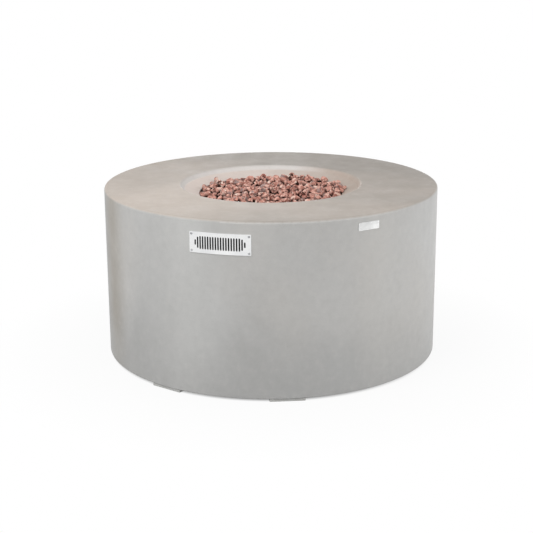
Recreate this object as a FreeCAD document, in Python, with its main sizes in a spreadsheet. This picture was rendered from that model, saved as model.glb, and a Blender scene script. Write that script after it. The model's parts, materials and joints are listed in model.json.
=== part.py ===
import FreeCAD
import Part
import Sketcher
import math
import os
import random
import re

# Round gas fire pit table: a cast shell with a dished fire bowl, vents, a burner under lava rock,
# and a gas valve with its knob and igniter. Millimetres, +Z up.
# The origin is on the ground, under the centre of the table. The front vent faces -Y.

SIZES = {
    # clearances
    "thread_gap": 0.1,
    "hole_clearance": 0.3,
    "end_gap": 0.5,
    # cast shell
    "body_radius": 500,
    "overall_height": 510,
    "foot_height": 7,
    "wall_thickness": 22,
    "slab_thickness": 25,
    "edge_round": 7,
    "base_round": 3,
    "corner_round": 14,
    "base_width": 48,
    "base_height": 24,
    "base_taper": 22,
    # fire bowl, depths are below the table top
    "bowl_radius": 273,
    "lip_round": 6,
    "band_foot_radius": 262,
    "band_depth": 13,
    "slope_foot_radius": 217,
    "slope_depth": 29,
    "ledge_depth": 47,
    "ledge_width": 15,
    "ledge_thickness": 24,
    "under_radius": 238,
    "haunch_radius": 300,
    # vents
    "vent_width": 174,
    "vent_height": 58,
    "vent_depth": 65,
    "vent_sheet": 1.5,
    "vent_corner": 2,
    "vent_window_width": 152,
    "vent_window_height": 40,
    "slot_pitch": 7.33,
    "slot_width": 4.3,
    "slot_count": 16,
    "slot_height": 36,
    "next_slot_height": 31,
    "last_slot_height": 15,
    "vent_screw_span": 162,
    "vent_screw_rise": 46,
    "vent_screw_radius": 1.9,
    "vent_head_radius": 3.4,
    "vent_head_height": 1.2,
    "vent_screw_length": 14,
    # nameplate
    "nameplate_angle": 48,
    "nameplate_width": 69,
    "nameplate_height": 22.3,
    "nameplate_depth": 31,
    "nameplate_sheet": 1,
    "nameplate_glue": 0.3,
    # feet
    "foot_length": 100,
    "foot_width": 40,
    "foot_turn": 21,
    "foot_corner": 3,
    "foot_screw_span": 60,
    "foot_screw_radius": 2.5,
    "foot_screw_length": 26,
    "foot_head_radius": 4.6,
    "foot_head_height": 3,
    "foot_recess": 4,
    # supply notch under the back wall
    "notch_width": 36,
    "notch_height": 40,
    # recess in the base under the valve, for the supply hose and its nut
    "hose_recess_radius": 15,
    # burner pan
    "pan_sheet": 1.5,
    "pan_clearance": 3,
    "pan_depth": 19,
    "pan_taper": 6,
    "pan_screw_count": 4,
    "pan_screw_radius": 2,
    "pan_screw_length": 14,
    "pan_head_radius": 3.5,
    "pan_head_height": 2.2,
    "drain_radius": 4,
    "drain_circle": 154,
    "drain_count": 6,
    # burner
    "ring_radius": 110,
    "ring_tube_radius": 7.5,
    "ring_lift": 5,
    "cross_tube_radius": 6.75,
    "port_count": 24,
    "port_radius": 1.3,
    "port_depth": 5,
    "hub_radius": 15,
    "hub_height": 19,
    "stub_radius": 10.65,
    "stub_bore": 7,
    "stub_length": 32,
    "burner_nut_flats": 30,
    "burner_nut_height": 6,
    "elbow_radius": 15,
    "elbow_drop": 44,
    "elbow_top": 18,
    "elbow_reach": 34,
    "elbow_socket": 16,
    "elbow_bore": 8,
    "elbow_chamfer": 4.5,
    "mixer_radius": 14,
    "mixer_length": 50,
    "mixer_spigot": 14,
    "mixer_bore": 10,
    "mixer_spigot_wall": 3,
    "mixer_end_wall": 6,
    "mixer_slot_setback": 10,
    "mixer_slot_width": 8,
    "mixer_slot_length": 22,
    "mixer_slot_count": 4,
    "injector_radius": 6.4,
    "injector_flats": 17,
    "injector_head": 8,
    "injector_thread": 10,
    "jet_radius": 1,
    "jet_taper": 3,
    # flare fittings and tube
    "flare_radius": 7.9,
    "flare_length": 14,
    "flare_bore": 4,
    "flare_nose": 3,
    "flare_nut_flats": 19,
    "flare_nut_length": 20,
    "flare_nut_lap": 10,
    "flare_nut_gap": 1,
    "tube_radius": 4.76,
    "tube_bore": 3.9,
    "tube_bend": 26,
    # control panel, outward distances are from the flat seat that the panel lies on
    "control_angle": 228,
    "control_height": 330,
    "panel_inset": 10,
    "panel_width": 150,
    "panel_height": 100,
    "panel_sheet": 2,
    "panel_corner": 6,
    "panel_margin": 1,
    "panel_window_width": 98,
    "panel_window_height": 60,
    "panel_window_corner": 8,
    "panel_screw_span_x": 132,
    "panel_screw_span_y": 82,
    "panel_screw_radius": 1.9,
    "panel_head_radius": 3.6,
    "panel_head_height": 2,
    "panel_screw_length": 8,
    # valve
    "knob_x": -24,
    "cap_width": 44,
    "cap_height": 34,
    "cap_thickness": 5,
    "cap_corner": 5,
    "cap_nose_radius": 6,
    "cap_nose_length": 4,
    "valve_ear": 4,
    "valve_radius": 15,
    "valve_length": 39,
    "valve_step": 2,
    "chamber_radius": 9.5,
    "chamber_depth": 11,
    "plug_front_radius": 9,
    "plug_rear_radius": 7,
    "plug_length": 22,
    "plug_gap": 0.06,
    "plug_setback": 1,
    "plug_port_radius": 3.2,
    "port_reach": 32,
    "boss_radius": 10.5,
    "boss_reach": 22,
    "magnet_radius": 10,
    "magnet_length": 10,
    "inlet_flats": 20,
    "inlet_hex_height": 8,
    "inlet_thread": 7,
    "valve_screw_span": 28,
    "valve_screw_edge": 5,
    "valve_screw_radius": 1.9,
    "valve_head_radius": 3.4,
    "valve_head_height": 2,
    "valve_screw_length": 9,
    "stem_radius": 4,
    "stem_gap": 0.06,
    "stem_flat": 2.8,
    "stem_chamfer": 1,
    "stem_lap": 13,
    "collar_radius": 7,
    "collar_thickness": 2,
    "tang_width": 9,
    "tang_thickness": 3,
    "tang_lap": 4.5,
    "tang_gap": 0.25,
    "push_travel": 4,
    # knob
    "knob_radius": 22,
    "knob_skirt": 6,
    "knob_depth": 20,
    "knob_wall": 3,
    "knob_hollow": 4.5,
    "knob_boss_radius": 7,
    "knob_chamfer": 1.5,
    "grip_width": 12,
    "grip_length": 37,
    "grip_round": 2,
    "pointer_width": 2.4,
    "pointer_length": 11,
    "pointer_depth": 3,
    "bezel_radius": 28,
    "bezel_inner_radius": 24.5,
    "bezel_height": 6,
    "bezel_flange": 1.5,
    "bezel_chamfer": 1.5,
    # igniter
    "igniter_x": 30,
    "igniter_radius": 11,
    "igniter_flange_radius": 14,
    "igniter_flange": 2.5,
    "igniter_length": 60,
    "igniter_bore": 8,
    "igniter_floor": 3,
    "igniter_chamfer": 1,
    "igniter_nut_flats": 26,
    "igniter_nut_height": 5,
    "button_radius": 10,
    "button_stem_radius": 7.6,
    "button_stem_length": 9,
    "button_height": 5,
    "button_chamfer": 1.5,
    "button_crown": 0.6,
    "button_travel": 3,
    "battery_radius": 7.25,
    "battery_length": 50.5,
    "battery_nub_radius": 2.75,
    "battery_nub_height": 1.3,
    "terminal_width": 6.3,
    "terminal_thickness": 1,
    "terminal_length": 8,
    # electrode and thermocouple beside the burner ring
    "ignition_turn": 35,
    "ignition_radius": 84,
    "ignition_span": 24,
    "guard_width": 52,
    "guard_depth": 28,
    "guard_height": 20,
    "guard_sheet": 1.2,
    "electrode_radius": 3.5,
    "electrode_shoulder": 5.5,
    "electrode_rise": 14,
    "electrode_drop": 16,
    "electrode_wire": 1,
    "electrode_pin": 4,
    "spark_rise": 1.5,
    "spark_gap": 5,
    "thermocouple_radius": 3,
    "thermocouple_shoulder": 5,
    "thermocouple_tip": 2.2,
    "thermocouple_nose": 1,
    "thermocouple_rise": 15,
    "thermocouple_drop": 14,
    "shoulder_height": 4,
    "electrode_lead_radius": 1.8,
    "thermocouple_lead_radius": 1.3,
    "thermocouple_nut_flats": 10,
    "thermocouple_nut_length": 6,
    # lava rock
    "rock_pitch": 30,
    "lower_rock_pitch": 40,
    "rock_gap": 0.6,
    "rock_bed_gap": 1,
    "pile_radius": 221,
    "pile_shift": 11,
    "pile_shift_angle": 16,
    "pile_crown_depth": 7.5,
    "pile_edge_drop": 8,
    "pile_roughness": 11,
    "rock_seed": 7,
}

document = FreeCAD.newDocument("fire_pit_table")
sheet = document.addObject("Spreadsheet::Sheet", "Sizes")
for row, (alias, number) in enumerate(SIZES.items(), start=1):
    sheet.set(f"A{row}", alias)
    sheet.set(f"B{row}", str(number))
    sheet.setAlias(f"B{row}", alias)
document.recompute()

subparts = []

# Levels and reaches that several pieces share, as formulas of the sheet's sizes

LEDGE_LEVEL = "(overall_height - ledge_depth)"
HOLE_RADIUS = "(slope_foot_radius - ledge_width)"
PAN_FLOOR = f"({LEDGE_LEVEL} - pan_depth)"
VENT_LEVEL = "(overall_height - vent_depth)"
FOOT_FACE = "sqrt(body_radius ^ 2 - (foot_length / 2) ^ 2)"
LINE_LEVEL = f"({PAN_FLOOR} - elbow_drop)"
PANEL_SEAT = "(body_radius - panel_inset)"
OUTLET_RADIUS = f"sqrt(knob_x ^ 2 + ({PANEL_SEAT} - port_reach) ^ 2)"
LINE_ANGLE = f"(control_angle * 1 deg + asin(knob_x / {OUTLET_RADIUS}))"
OUTLET_TOP = "(boss_reach + flare_length)"
MIXER_END = "(elbow_reach + mixer_length)"
INJECTOR_END = f"({MIXER_END} + injector_head + flare_length)"
CHAMBER_FLOOR = "(-cap_thickness - chamber_depth)"
PLUG_FRONT = f"({CHAMBER_FLOOR} - plug_setback)"
SEAT_LENGTH = "(plug_length + plug_setback * 2)"
COLLAR_FRONT = "(-cap_thickness - stem_gap * 3)"
VALVE_SCREW_ROW = "(-cap_height / 2 + valve_screw_edge)"
NOSE_HOLE = "(cap_nose_radius + hole_clearance)"
# The knob clears the screws behind it when it is pushed in
KNOB_BACK = "(panel_sheet + bezel_flange + valve_head_height + push_travel + end_gap)"
STEM_END = f"({KNOB_BACK} + stem_lap)"
IGNITER_MOUTH = "(panel_sheet + igniter_flange)"
BUTTON_UNDERSIDE = f"({IGNITER_MOUTH} + button_travel + end_gap)"
# A plane clear of the wall that cuts start from, and how far a cut runs past the face it opens
OUTSIDE = "(body_radius + wall_thickness)"
OVERCUT = "1"
FOOT_ANGLES = {
    "front_left": "-foot_turn",
    "front_right": "foot_turn",
    "rear_right": "(180 - foot_turn)",
    "rear_left": "(180 + foot_turn)",
}


def formula(text):
    return re.sub(r"[a-z_]+", lambda word: f"Sizes.{word[0]}" if word[0] in SIZES else word[0], text)


def size(text):
    value = sheet.evalExpression(formula(text))
    return value.Value if hasattr(value, "Value") else float(value)


def bind(target, name, text):
    target.setExpression(name, formula(text))


def new_body(label, turn="0", at=("0", "0", "0"), tilt="0"):
    body = document.addObject("PartDesign::Body", label)
    body.Label = label
    x, y, z = at
    bind(body, "Placement",
         f"placement(vector(0; 0; 0); rotation(vector(0; 0; 1); {turn}))"
         f" * placement(vector({x}; {y}; {z}); rotation(vector(1; 0; 0); {tilt}))")
    subparts.append(body)
    return body


# A body whose own +Z points out of the control panel, from the flat seat, and +Y up

def new_panel_body(label, x="0"):
    return new_body(label, "control_angle", (x, f"-{PANEL_SEAT}", "control_height"), "90")


# A body whose own +Z points along the gas line, from the table's axis, and +Y up

def new_line_body(label):
    return new_body(label, LINE_ANGLE, ("0", "0", LINE_LEVEL), "90")


def origin_feature(body, role):
    return next(item for item in body.Origin.OriginFeatures if item.Role == role)


# A sketch on an origin plane, moved along the plane's normal and, but for the YZ plane, turned about Z

def new_sketch(body, name, role="XY_Plane", offset="0", turn="0"):
    sketch = body.newObject("Sketcher::SketchObject", f"{body.Label}_{name}")
    sketch.AttachmentSupport = [(origin_feature(body, role), "")]
    sketch.MapMode = "FlatFace"
    if role == "YZ_Plane":
        bind(sketch, "AttachmentOffset.Base.z", offset)
        return sketch
    upward = FreeCAD.Vector(0, 0, 1) if role == "XY_Plane" else FreeCAD.Vector(0, 1, 0)
    sketch.AttachmentOffset = FreeCAD.Placement(FreeCAD.Vector(), FreeCAD.Rotation(upward, 1))
    bind(sketch, "AttachmentOffset.Rotation.Angle", turn)
    if role == "XY_Plane":
        bind(sketch, "AttachmentOffset.Base.z", offset)
    else:
        bind(sketch, "AttachmentOffset.Base.x", f"({offset}) * sin({turn})")
        bind(sketch, "AttachmentOffset.Base.z", f"({offset}) * cos({turn})")
    return sketch


def hold(sketch, kind, *place, value):
    index = sketch.addConstraint(Sketcher.Constraint(kind, *place, size(value)))
    sketch.setExpression(f"Constraints[{index}]", formula(value))


def hold_point(sketch, element, end, x, y):
    hold(sketch, "DistanceX", -1, 1, element, end, value=x)
    hold(sketch, "DistanceY", -1, 1, element, end, value=y)


def draw_outline(sketch, points):
    spots = [FreeCAD.Vector(size(x), size(y), 0) for x, y in points]
    count = len(spots)
    lines = [sketch.addGeometry(Part.LineSegment(spots[i], spots[(i + 1) % count]), False)
             for i in range(count)]
    for i, line in enumerate(lines):
        sketch.addConstraint(Sketcher.Constraint("Coincident", line, 2, lines[(i + 1) % count], 1))
        hold_point(sketch, line, 1, *points[i])


def draw_circle(sketch, x, y, radius):
    circle = sketch.addGeometry(
        Part.Circle(FreeCAD.Vector(size(x), size(y), 0), FreeCAD.Vector(0, 0, 1), size(radius)), False)
    hold_point(sketch, circle, 3, x, y)
    hold(sketch, "Radius", circle, value=radius)


def draw_box(sketch, left, bottom, right, top):
    draw_outline(sketch, [(left, bottom), (right, bottom), (right, top), (left, top)])


def draw_hexagon(sketch, flats):
    corners = [(f"{flats} / sqrt(3) * cos({60 * i})", f"{flats} / sqrt(3) * sin({60 * i})")
               for i in range(6)]
    draw_outline(sketch, corners)


# An upright slot with round ends, from the centre of its lower arc to that of its upper arc

def draw_slot(sketch, x, bottom, top, radius):
    middle, low, high, reach = size(x), size(bottom), size(top), size(radius)
    upward = FreeCAD.Vector(0, 0, 1)
    left = Part.LineSegment(FreeCAD.Vector(middle - reach, low, 0), FreeCAD.Vector(middle - reach, high, 0))
    right = Part.LineSegment(FreeCAD.Vector(middle + reach, high, 0), FreeCAD.Vector(middle + reach, low, 0))
    head = Part.ArcOfCircle(Part.Circle(FreeCAD.Vector(middle, high, 0), upward, reach), 0, math.pi)
    foot = Part.ArcOfCircle(Part.Circle(FreeCAD.Vector(middle, low, 0), upward, reach),
                            math.pi, 2 * math.pi)
    left, head, right, foot = [sketch.addGeometry(item, False) for item in (left, head, right, foot)]
    for first, first_end, second, second_end in ((left, 2, head, 2), (head, 1, right, 1),
                                                 (right, 2, foot, 2), (foot, 1, left, 1)):
        sketch.addConstraint(Sketcher.Constraint("Tangent", first, first_end, second, second_end))
    sketch.addConstraint(Sketcher.Constraint("Equal", head, foot))
    hold(sketch, "Radius", head, value=radius)
    hold_point(sketch, head, 3, x, top)
    hold_point(sketch, foot, 3, x, bottom)


def add_feature(body, kind, name, profile=None):
    feature = body.newObject(f"PartDesign::{kind}", f"{body.Label}_{name}")
    if profile is not None:
        feature.Profile = profile
        profile.Visibility = False
    return feature


def pad(body, sketch, name, length, backward=False):
    feature = add_feature(body, "Pad", name, sketch)
    feature.Reversed = backward
    bind(feature, "Length", length)
    document.recompute()
    return feature


def pocket(body, sketch, name, depth, forward=False):
    feature = add_feature(body, "Pocket", name, sketch)
    feature.Reversed = forward
    bind(feature, "Length", depth)
    document.recompute()
    return feature


# A profile of radius and height, turned about the body's Z axis

def turned(body, name, points, groove=False):
    sketch = new_sketch(body, f"{name}_profile", "XZ_Plane")
    draw_outline(sketch, points)
    feature = add_feature(body, "Groove" if groove else "Revolution", name, sketch)
    feature.ReferenceAxis = (sketch, ["V_Axis"])
    feature.Angle = 360
    document.recompute()
    return feature


def polar(body, name, originals, count, angle="360"):
    pattern = add_feature(body, "PolarPattern", name)
    pattern.Originals = originals
    pattern.Axis = (origin_feature(body, "Z_Axis"), [""])
    bind(pattern, "Angle", angle)
    bind(pattern, "Occurrences", count)
    body.Tip = pattern
    document.recompute()
    return pattern


def edge_names(feature, wanted):
    return [f"Edge{i}" for i, edge in enumerate(feature.Shape.Edges, start=1) if wanted(edge)]


# Tests for edges: a circle about Z at a radius and level, and a straight edge of one length

UP = FreeCAD.Vector(0, 0, 1)
NEAR = 0.01


def ring(radius, level):
    reach, height = size(radius), size(level)

    def is_ring(edge):
        curve = edge.Curve
        return (isinstance(curve, Part.Circle) and abs(curve.Radius - reach) < NEAR
                and abs(curve.Center.z - height) < NEAR and abs(curve.Axis.z) > 1 - NEAR)
    return is_ring


def straight(length, direction):
    reach = size(length)

    def is_straight(edge):
        return (isinstance(edge.Curve, Part.Line) and abs(edge.Length - reach) < NEAR
                and abs(edge.Curve.Direction.dot(direction)) > 1 - NEAR)
    return is_straight


def rounded(body, name, base, wanted, radius, kind="Fillet"):
    feature = add_feature(body, kind, name)
    feature.Base = (base, edge_names(base, wanted))
    bind(feature, "Radius" if kind == "Fillet" else "Size", radius)
    document.recompute()
    return feature


# Cast shell

def make_table_body():
    body = new_body("table_body")
    inner = "(body_radius - wall_thickness)"
    base_inner = "(body_radius - base_width)"
    slab = "(overall_height - slab_thickness)"
    ledge_under = f"({LEDGE_LEVEL} - ledge_thickness)"
    shell = turned(body, "shell", [
        (base_inner, "foot_height"),
        ("body_radius", "foot_height"),
        ("body_radius", "overall_height"),
        ("bowl_radius", "overall_height"),
        ("band_foot_radius", "overall_height - band_depth"),
        ("slope_foot_radius", "overall_height - slope_depth"),
        ("slope_foot_radius", LEDGE_LEVEL),
        (HOLE_RADIUS, LEDGE_LEVEL),
        (HOLE_RADIUS, ledge_under),
        ("under_radius", ledge_under),
        ("haunch_radius", slab),
        (inner, slab),
        (inner, "foot_height + base_height + base_taper"),
        (base_inner, "foot_height + base_height"),
    ])
    rim = rounded(body, "top_edge", shell, ring("body_radius", "overall_height"), "edge_round")
    lip = rounded(body, "bowl_lip", rim, ring("bowl_radius", "overall_height"), "lip_round")
    foot_edge = rounded(body, "base_edge", lip, ring("body_radius", "foot_height"), "base_round")
    rounded(body, "inner_corner", foot_edge, ring(inner, slab), "corner_round")
    cut_vent_windows(body)
    cut_control_window(body)
    cut_notch(body)
    cut_hose_recess(body)
    cut_foot_holes(body)
    cut_pan_holes(body)


# Windows behind the front and rear vents, with blind holes for the vent screws

def cut_vent_windows(body):
    half_width = "(vent_window_width / 2)"
    half_height = "(vent_window_height / 2)"
    inner_edge = f"sqrt((body_radius - wall_thickness) ^ 2 - {half_width} ^ 2)"
    sketch = new_sketch(body, "window", "XZ_Plane", OUTSIDE)
    draw_box(sketch, f"-{half_width}", f"{VENT_LEVEL} - {half_height}",
             half_width, f"{VENT_LEVEL} + {half_height}")
    cuts = [pocket(body, sketch, "front_window", f"{OUTSIDE} - {inner_edge} + {OVERCUT}")]
    for side, sign in (("left", "-"), ("right", "")):
        turn = f"{sign}(vent_screw_span / 2 / body_radius * 180 / pi)"
        holes = new_sketch(body, f"vent_holes_{side}", "XZ_Plane", OUTSIDE, turn)
        for rise in ("-vent_screw_rise / 2", "vent_screw_rise / 2"):
            draw_circle(holes, "0", f"{VENT_LEVEL} + {rise}", "vent_screw_radius + thread_gap")
        cuts.append(pocket(body, holes, f"front_vent_holes_{side}",
                           f"{OUTSIDE} - body_radius + vent_screw_length"))
    polar(body, "rear_window", cuts, "2")


# Flat seat for the control panel, the window behind it, and blind holes for its screws

def cut_control_window(body):
    half_width = "(panel_width / 2 + panel_margin)"
    half_height = "(panel_height / 2 + panel_margin)"
    seat = new_sketch(body, "flat_seat", "XZ_Plane", OUTSIDE, "control_angle")
    draw_box(seat, f"-{half_width}", f"control_height - {half_height}",
             half_width, f"control_height + {half_height}")
    recess = pocket(body, seat, "panel_recess", f"{OUTSIDE} - {PANEL_SEAT}")
    rounded(body, "panel_recess_corners", recess, seat_corner(half_width, half_height),
            "panel_corner + panel_margin")
    window = new_sketch(body, "panel_window", "XZ_Plane", OUTSIDE, "control_angle")
    draw_box(window, "-panel_window_width / 2", "control_height - panel_window_height / 2",
             "panel_window_width / 2", "control_height + panel_window_height / 2")
    inner_edge = "sqrt((body_radius - wall_thickness) ^ 2 - (panel_window_width / 2) ^ 2)"
    opening = pocket(body, window, "control_window", f"{OUTSIDE} - {inner_edge} + {OVERCUT}")
    rounded(body, "control_window_corners", opening,
            seat_corner("panel_window_width / 2", "panel_window_height / 2"), "panel_window_corner")
    holes = new_sketch(body, "panel_holes", "XZ_Plane", OUTSIDE, "control_angle")
    for x in ("-panel_screw_span_x / 2", "panel_screw_span_x / 2"):
        for y in ("-panel_screw_span_y / 2", "panel_screw_span_y / 2"):
            draw_circle(holes, x, f"control_height + {y}", "panel_screw_radius + thread_gap")
    pocket(body, holes, "panel_screw_holes", f"{OUTSIDE} - {PANEL_SEAT} + panel_screw_length")


# The four edges across the wall at the corners of the panel's seat or of the window behind it

def seat_corner(half_width, half_height):
    reach, rise, level = size(half_width), size(half_height), size("control_height")
    angle = math.radians(size("control_angle"))
    across = FreeCAD.Vector(math.cos(angle), math.sin(angle), 0)

    def is_corner(edge):
        middle = edge.CenterOfMass
        return (isinstance(edge.Curve, Part.Line)
                and abs(abs(middle.dot(across)) - reach) < NEAR
                and abs(abs(middle.z - level) - rise) < NEAR)
    return is_corner


# Arched notch for the gas supply hose, under the back wall

def cut_notch(body):
    sketch = new_sketch(body, "notch", "XZ_Plane", OUTSIDE, "180")
    radius = "(notch_width / 2)"
    draw_slot(sketch, "0", "foot_height - notch_width", f"foot_height + notch_height - {radius}", radius)
    inner_edge = f"sqrt((body_radius - base_width) ^ 2 - {radius} ^ 2)"
    pocket(body, sketch, "supply_notch", f"{OUTSIDE} - {inner_edge} + {OVERCUT}")


# Recess in the inside of the base, under the valve's inlet, so that the supply hose comes straight up

def cut_hose_recess(body):
    sketch = new_sketch(body, "hose_recess", "XY_Plane", "foot_height", "control_angle")
    draw_slot(sketch, "knob_x", f"-({PANEL_SEAT} - port_reach)",
              "-(body_radius - base_width) + hose_recess_radius", "hose_recess_radius")
    pocket(body, sketch, "recess_for_hose", "base_height + base_taper", forward=True)


def cut_foot_holes(body):
    for corner, turn in FOOT_ANGLES.items():
        sketch = new_sketch(body, f"{corner}_holes", "XY_Plane", "foot_height", turn)
        for x in ("-foot_screw_span / 2", "foot_screw_span / 2"):
            draw_circle(sketch, x, f"-{FOOT_FACE} + foot_width / 2", "foot_screw_radius + thread_gap")
        pocket(body, sketch, f"{corner}_foot_holes", "foot_screw_length - foot_height + foot_recess",
               forward=True)


def cut_pan_holes(body):
    sketch = new_sketch(body, "pan_hole", "XY_Plane", LEDGE_LEVEL)
    draw_circle(sketch, f"({HOLE_RADIUS} + slope_foot_radius - pan_clearance) / 2", "0",
                "pan_screw_radius + thread_gap")
    hole = pocket(body, sketch, "pan_screw_hole", "pan_screw_length")
    polar(body, "pan_screw_holes", [hole], "pan_screw_count")


# Vent plates: sheet bent to the wall, a row of upright slots with shorter ones at both ends

def make_vent_plate(label, turn):
    body = new_body(label, turn)
    sketch = new_sketch(body, "section", "YZ_Plane")
    draw_box(sketch, "-body_radius - vent_sheet", f"{VENT_LEVEL} - vent_height / 2",
             "-body_radius", f"{VENT_LEVEL} + vent_height / 2")
    sheet_metal = add_feature(body, "Revolution", "sheet_metal", sketch)
    sheet_metal.ReferenceAxis = (sketch, ["V_Axis"])
    sheet_metal.Midplane = True
    bind(sheet_metal, "Angle", "vent_width / body_radius * 180 / pi")
    document.recompute()
    rounded(body, "corners", sheet_metal, across_sheet("vent_sheet"), "vent_corner")
    pitch_angle = "(slot_pitch / body_radius * 180 / pi)"
    rows = (("slots", "slot_height", "(slot_count - 1)", "slot_count"),
            ("next_slots", "next_slot_height", "(slot_count + 1)", "2"),
            ("last_slots", "last_slot_height", "(slot_count + 3)", "2"))
    through = f"{OUTSIDE} - body_radius + {OVERCUT}"
    for name, height, steps, count in rows:
        slot = new_sketch(body, name, "XZ_Plane", OUTSIDE, f"-{steps} / 2 * {pitch_angle}")
        half = f"({height} - slot_width) / 2"
        draw_slot(slot, "0", f"{VENT_LEVEL} - {half}", f"{VENT_LEVEL} + {half}", "slot_width / 2")
        first = pocket(body, slot, f"first_of_{name}", through)
        polar(body, name, [first], count, f"{steps} * {pitch_angle}")
    screw_angle = "(vent_screw_span / body_radius * 180 / pi)"
    holes = new_sketch(body, "holes", "XZ_Plane", OUTSIDE, f"-{screw_angle} / 2")
    for rise in ("-vent_screw_rise / 2", "vent_screw_rise / 2"):
        draw_circle(holes, "0", f"{VENT_LEVEL} + {rise}", "vent_screw_radius + thread_gap")
    first = pocket(body, holes, "left_screw_holes", through)
    polar(body, "screw_holes", [first], "2", screw_angle)


def across_sheet(thickness):
    reach = size(thickness)

    def is_across(edge):
        return isinstance(edge.Curve, Part.Line) and abs(edge.Length - reach) < NEAR
    return is_across


def make_vent_screws(label, turn):
    body = new_body(label, turn)
    screw_angle = "(vent_screw_span / body_radius * 180 / pi)"
    solids = []
    for name, radius, length, backward in (
            ("shank", "vent_screw_radius", "vent_screw_length + vent_sheet - end_gap", True),
            ("head", "vent_head_radius", "vent_head_height", False)):
        sketch = new_sketch(body, name, "XZ_Plane", "body_radius + vent_sheet", f"-{screw_angle} / 2")
        for rise in ("-vent_screw_rise / 2", "vent_screw_rise / 2"):
            draw_circle(sketch, "0", f"{VENT_LEVEL} + {rise}", radius)
        solids.append(pad(body, sketch, f"{name}s", length, backward))
    polar(body, "both_sides", solids, "2", screw_angle)


def make_nameplate():
    body = new_body("nameplate", "nameplate_angle")
    sketch = new_sketch(body, "section", "YZ_Plane")
    middle = "(overall_height - nameplate_depth)"
    back = "(body_radius + nameplate_glue)"
    draw_box(sketch, f"-{back} - nameplate_sheet", f"{middle} - nameplate_height / 2",
             f"-{back}", f"{middle} + nameplate_height / 2")
    plate = add_feature(body, "Revolution", "plate", sketch)
    plate.ReferenceAxis = (sketch, ["V_Axis"])
    plate.Midplane = True
    bind(plate, "Angle", "nameplate_width / body_radius * 180 / pi")
    document.recompute()
    rounded(body, "corners", plate, across_sheet("nameplate_sheet"), "vent_corner")


# Feet: straight pads whose outer corners are flush with the wall

def make_foot(corner, turn):
    body = new_body(f"foot_{corner}", turn)
    sketch = new_sketch(body, "pad")
    draw_box(sketch, "-foot_length / 2", f"-{FOOT_FACE}", "foot_length / 2", f"-{FOOT_FACE} + foot_width")
    block = pad(body, sketch, "block", "foot_height")
    rounded(body, "corners", block, straight("foot_height", UP), "foot_corner")
    for name, radius, depth in (("recess", "foot_head_radius + hole_clearance", "foot_recess"),
                                ("hole", "foot_screw_radius + hole_clearance", f"foot_height + {OVERCUT}")):
        holes = new_sketch(body, name)
        for x in ("-foot_screw_span / 2", "foot_screw_span / 2"):
            draw_circle(holes, x, f"-{FOOT_FACE} + foot_width / 2", radius)
        pocket(body, holes, f"{name}s", depth, forward=True)


def make_foot_screws():
    body = new_body("foot_screws")
    for corner, turn in FOOT_ANGLES.items():
        for name, radius, length, backward in (
                ("shank", "foot_screw_radius", "foot_screw_length - end_gap", False),
                ("head", "foot_head_radius", "foot_head_height", True)):
            sketch = new_sketch(body, f"{corner}_{name}", "XY_Plane", "foot_recess", turn)
            for x in ("-foot_screw_span / 2", "foot_screw_span / 2"):
                draw_circle(sketch, x, f"-{FOOT_FACE} + foot_width / 2", radius)
            pad(body, sketch, f"{corner}_{name}s", length, backward)


# Burner pan: a shallow tray whose rim lies on the shell's ledge

def make_burner_pan():
    body = new_body("burner_pan", LINE_ANGLE)
    wall_top = f"({HOLE_RADIUS} - pan_clearance)"
    wall_foot = f"({wall_top} - pan_taper)"
    rim = "(slope_foot_radius - pan_clearance)"
    hub_hole = "(stub_radius + thread_gap)"
    tray = turned(body, "tray", [
        (hub_hole, f"{PAN_FLOOR} - pan_sheet"),
        (wall_foot, f"{PAN_FLOOR} - pan_sheet"),
        (wall_top, LEDGE_LEVEL),
        (rim, LEDGE_LEVEL),
        (rim, f"{LEDGE_LEVEL} + pan_sheet"),
        (f"{wall_top} - pan_sheet", f"{LEDGE_LEVEL} + pan_sheet"),
        (f"{wall_foot} - pan_sheet", PAN_FLOOR),
        (hub_hole, PAN_FLOOR),
    ])
    rounded(body, "bend", tray, ring(wall_foot, f"{PAN_FLOOR} - pan_sheet"), "pan_sheet * 2")
    through = f"pan_sheet + {OVERCUT}"
    drain = new_sketch(body, "drain", "XY_Plane", PAN_FLOOR)
    draw_circle(drain, "0", "drain_circle", "drain_radius")
    hole = pocket(body, drain, "drain_hole", through)
    polar(body, "drain_holes", [hole], "drain_count")
    screw = new_sketch(body, "screw_hole", "XY_Plane", f"{LEDGE_LEVEL} + pan_sheet",
                       f"-{LINE_ANGLE}")
    draw_circle(screw, f"({HOLE_RADIUS} + {rim}) / 2", "0", "pan_screw_radius + hole_clearance")
    hole = pocket(body, screw, "rim_hole", through)
    polar(body, "rim_holes", [hole], "pan_screw_count")
    probes = new_sketch(body, "probe_holes", "XY_Plane", PAN_FLOOR,
                        f"control_angle * 1 deg + ignition_turn * 1 deg - {LINE_ANGLE}")
    draw_circle(probes, "ignition_span / 2", "-ignition_radius", "electrode_radius + hole_clearance")
    draw_circle(probes, "-ignition_span / 2", "-ignition_radius", "thermocouple_radius + hole_clearance")
    pocket(body, probes, "probe_hole", through)


def make_pan_screws():
    body = new_body("pan_screws")
    seat = f"{LEDGE_LEVEL} + pan_sheet"
    circle = f"({HOLE_RADIUS} + slope_foot_radius - pan_clearance) / 2"
    solids = []
    for name, radius, length, backward in (
            ("shank", "pan_screw_radius", "pan_screw_length", True),
            ("head", "pan_head_radius", "pan_head_height", False)):
        sketch = new_sketch(body, name, "XY_Plane", seat)
        draw_circle(sketch, circle, "0", radius)
        solids.append(pad(body, sketch, f"first_{name}", length, backward))
    polar(body, "all_screws", solids, "pan_screw_count")


# Burner: a ring fed by a cross tube from a hub, with ports along its top and a threaded stub below

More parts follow.
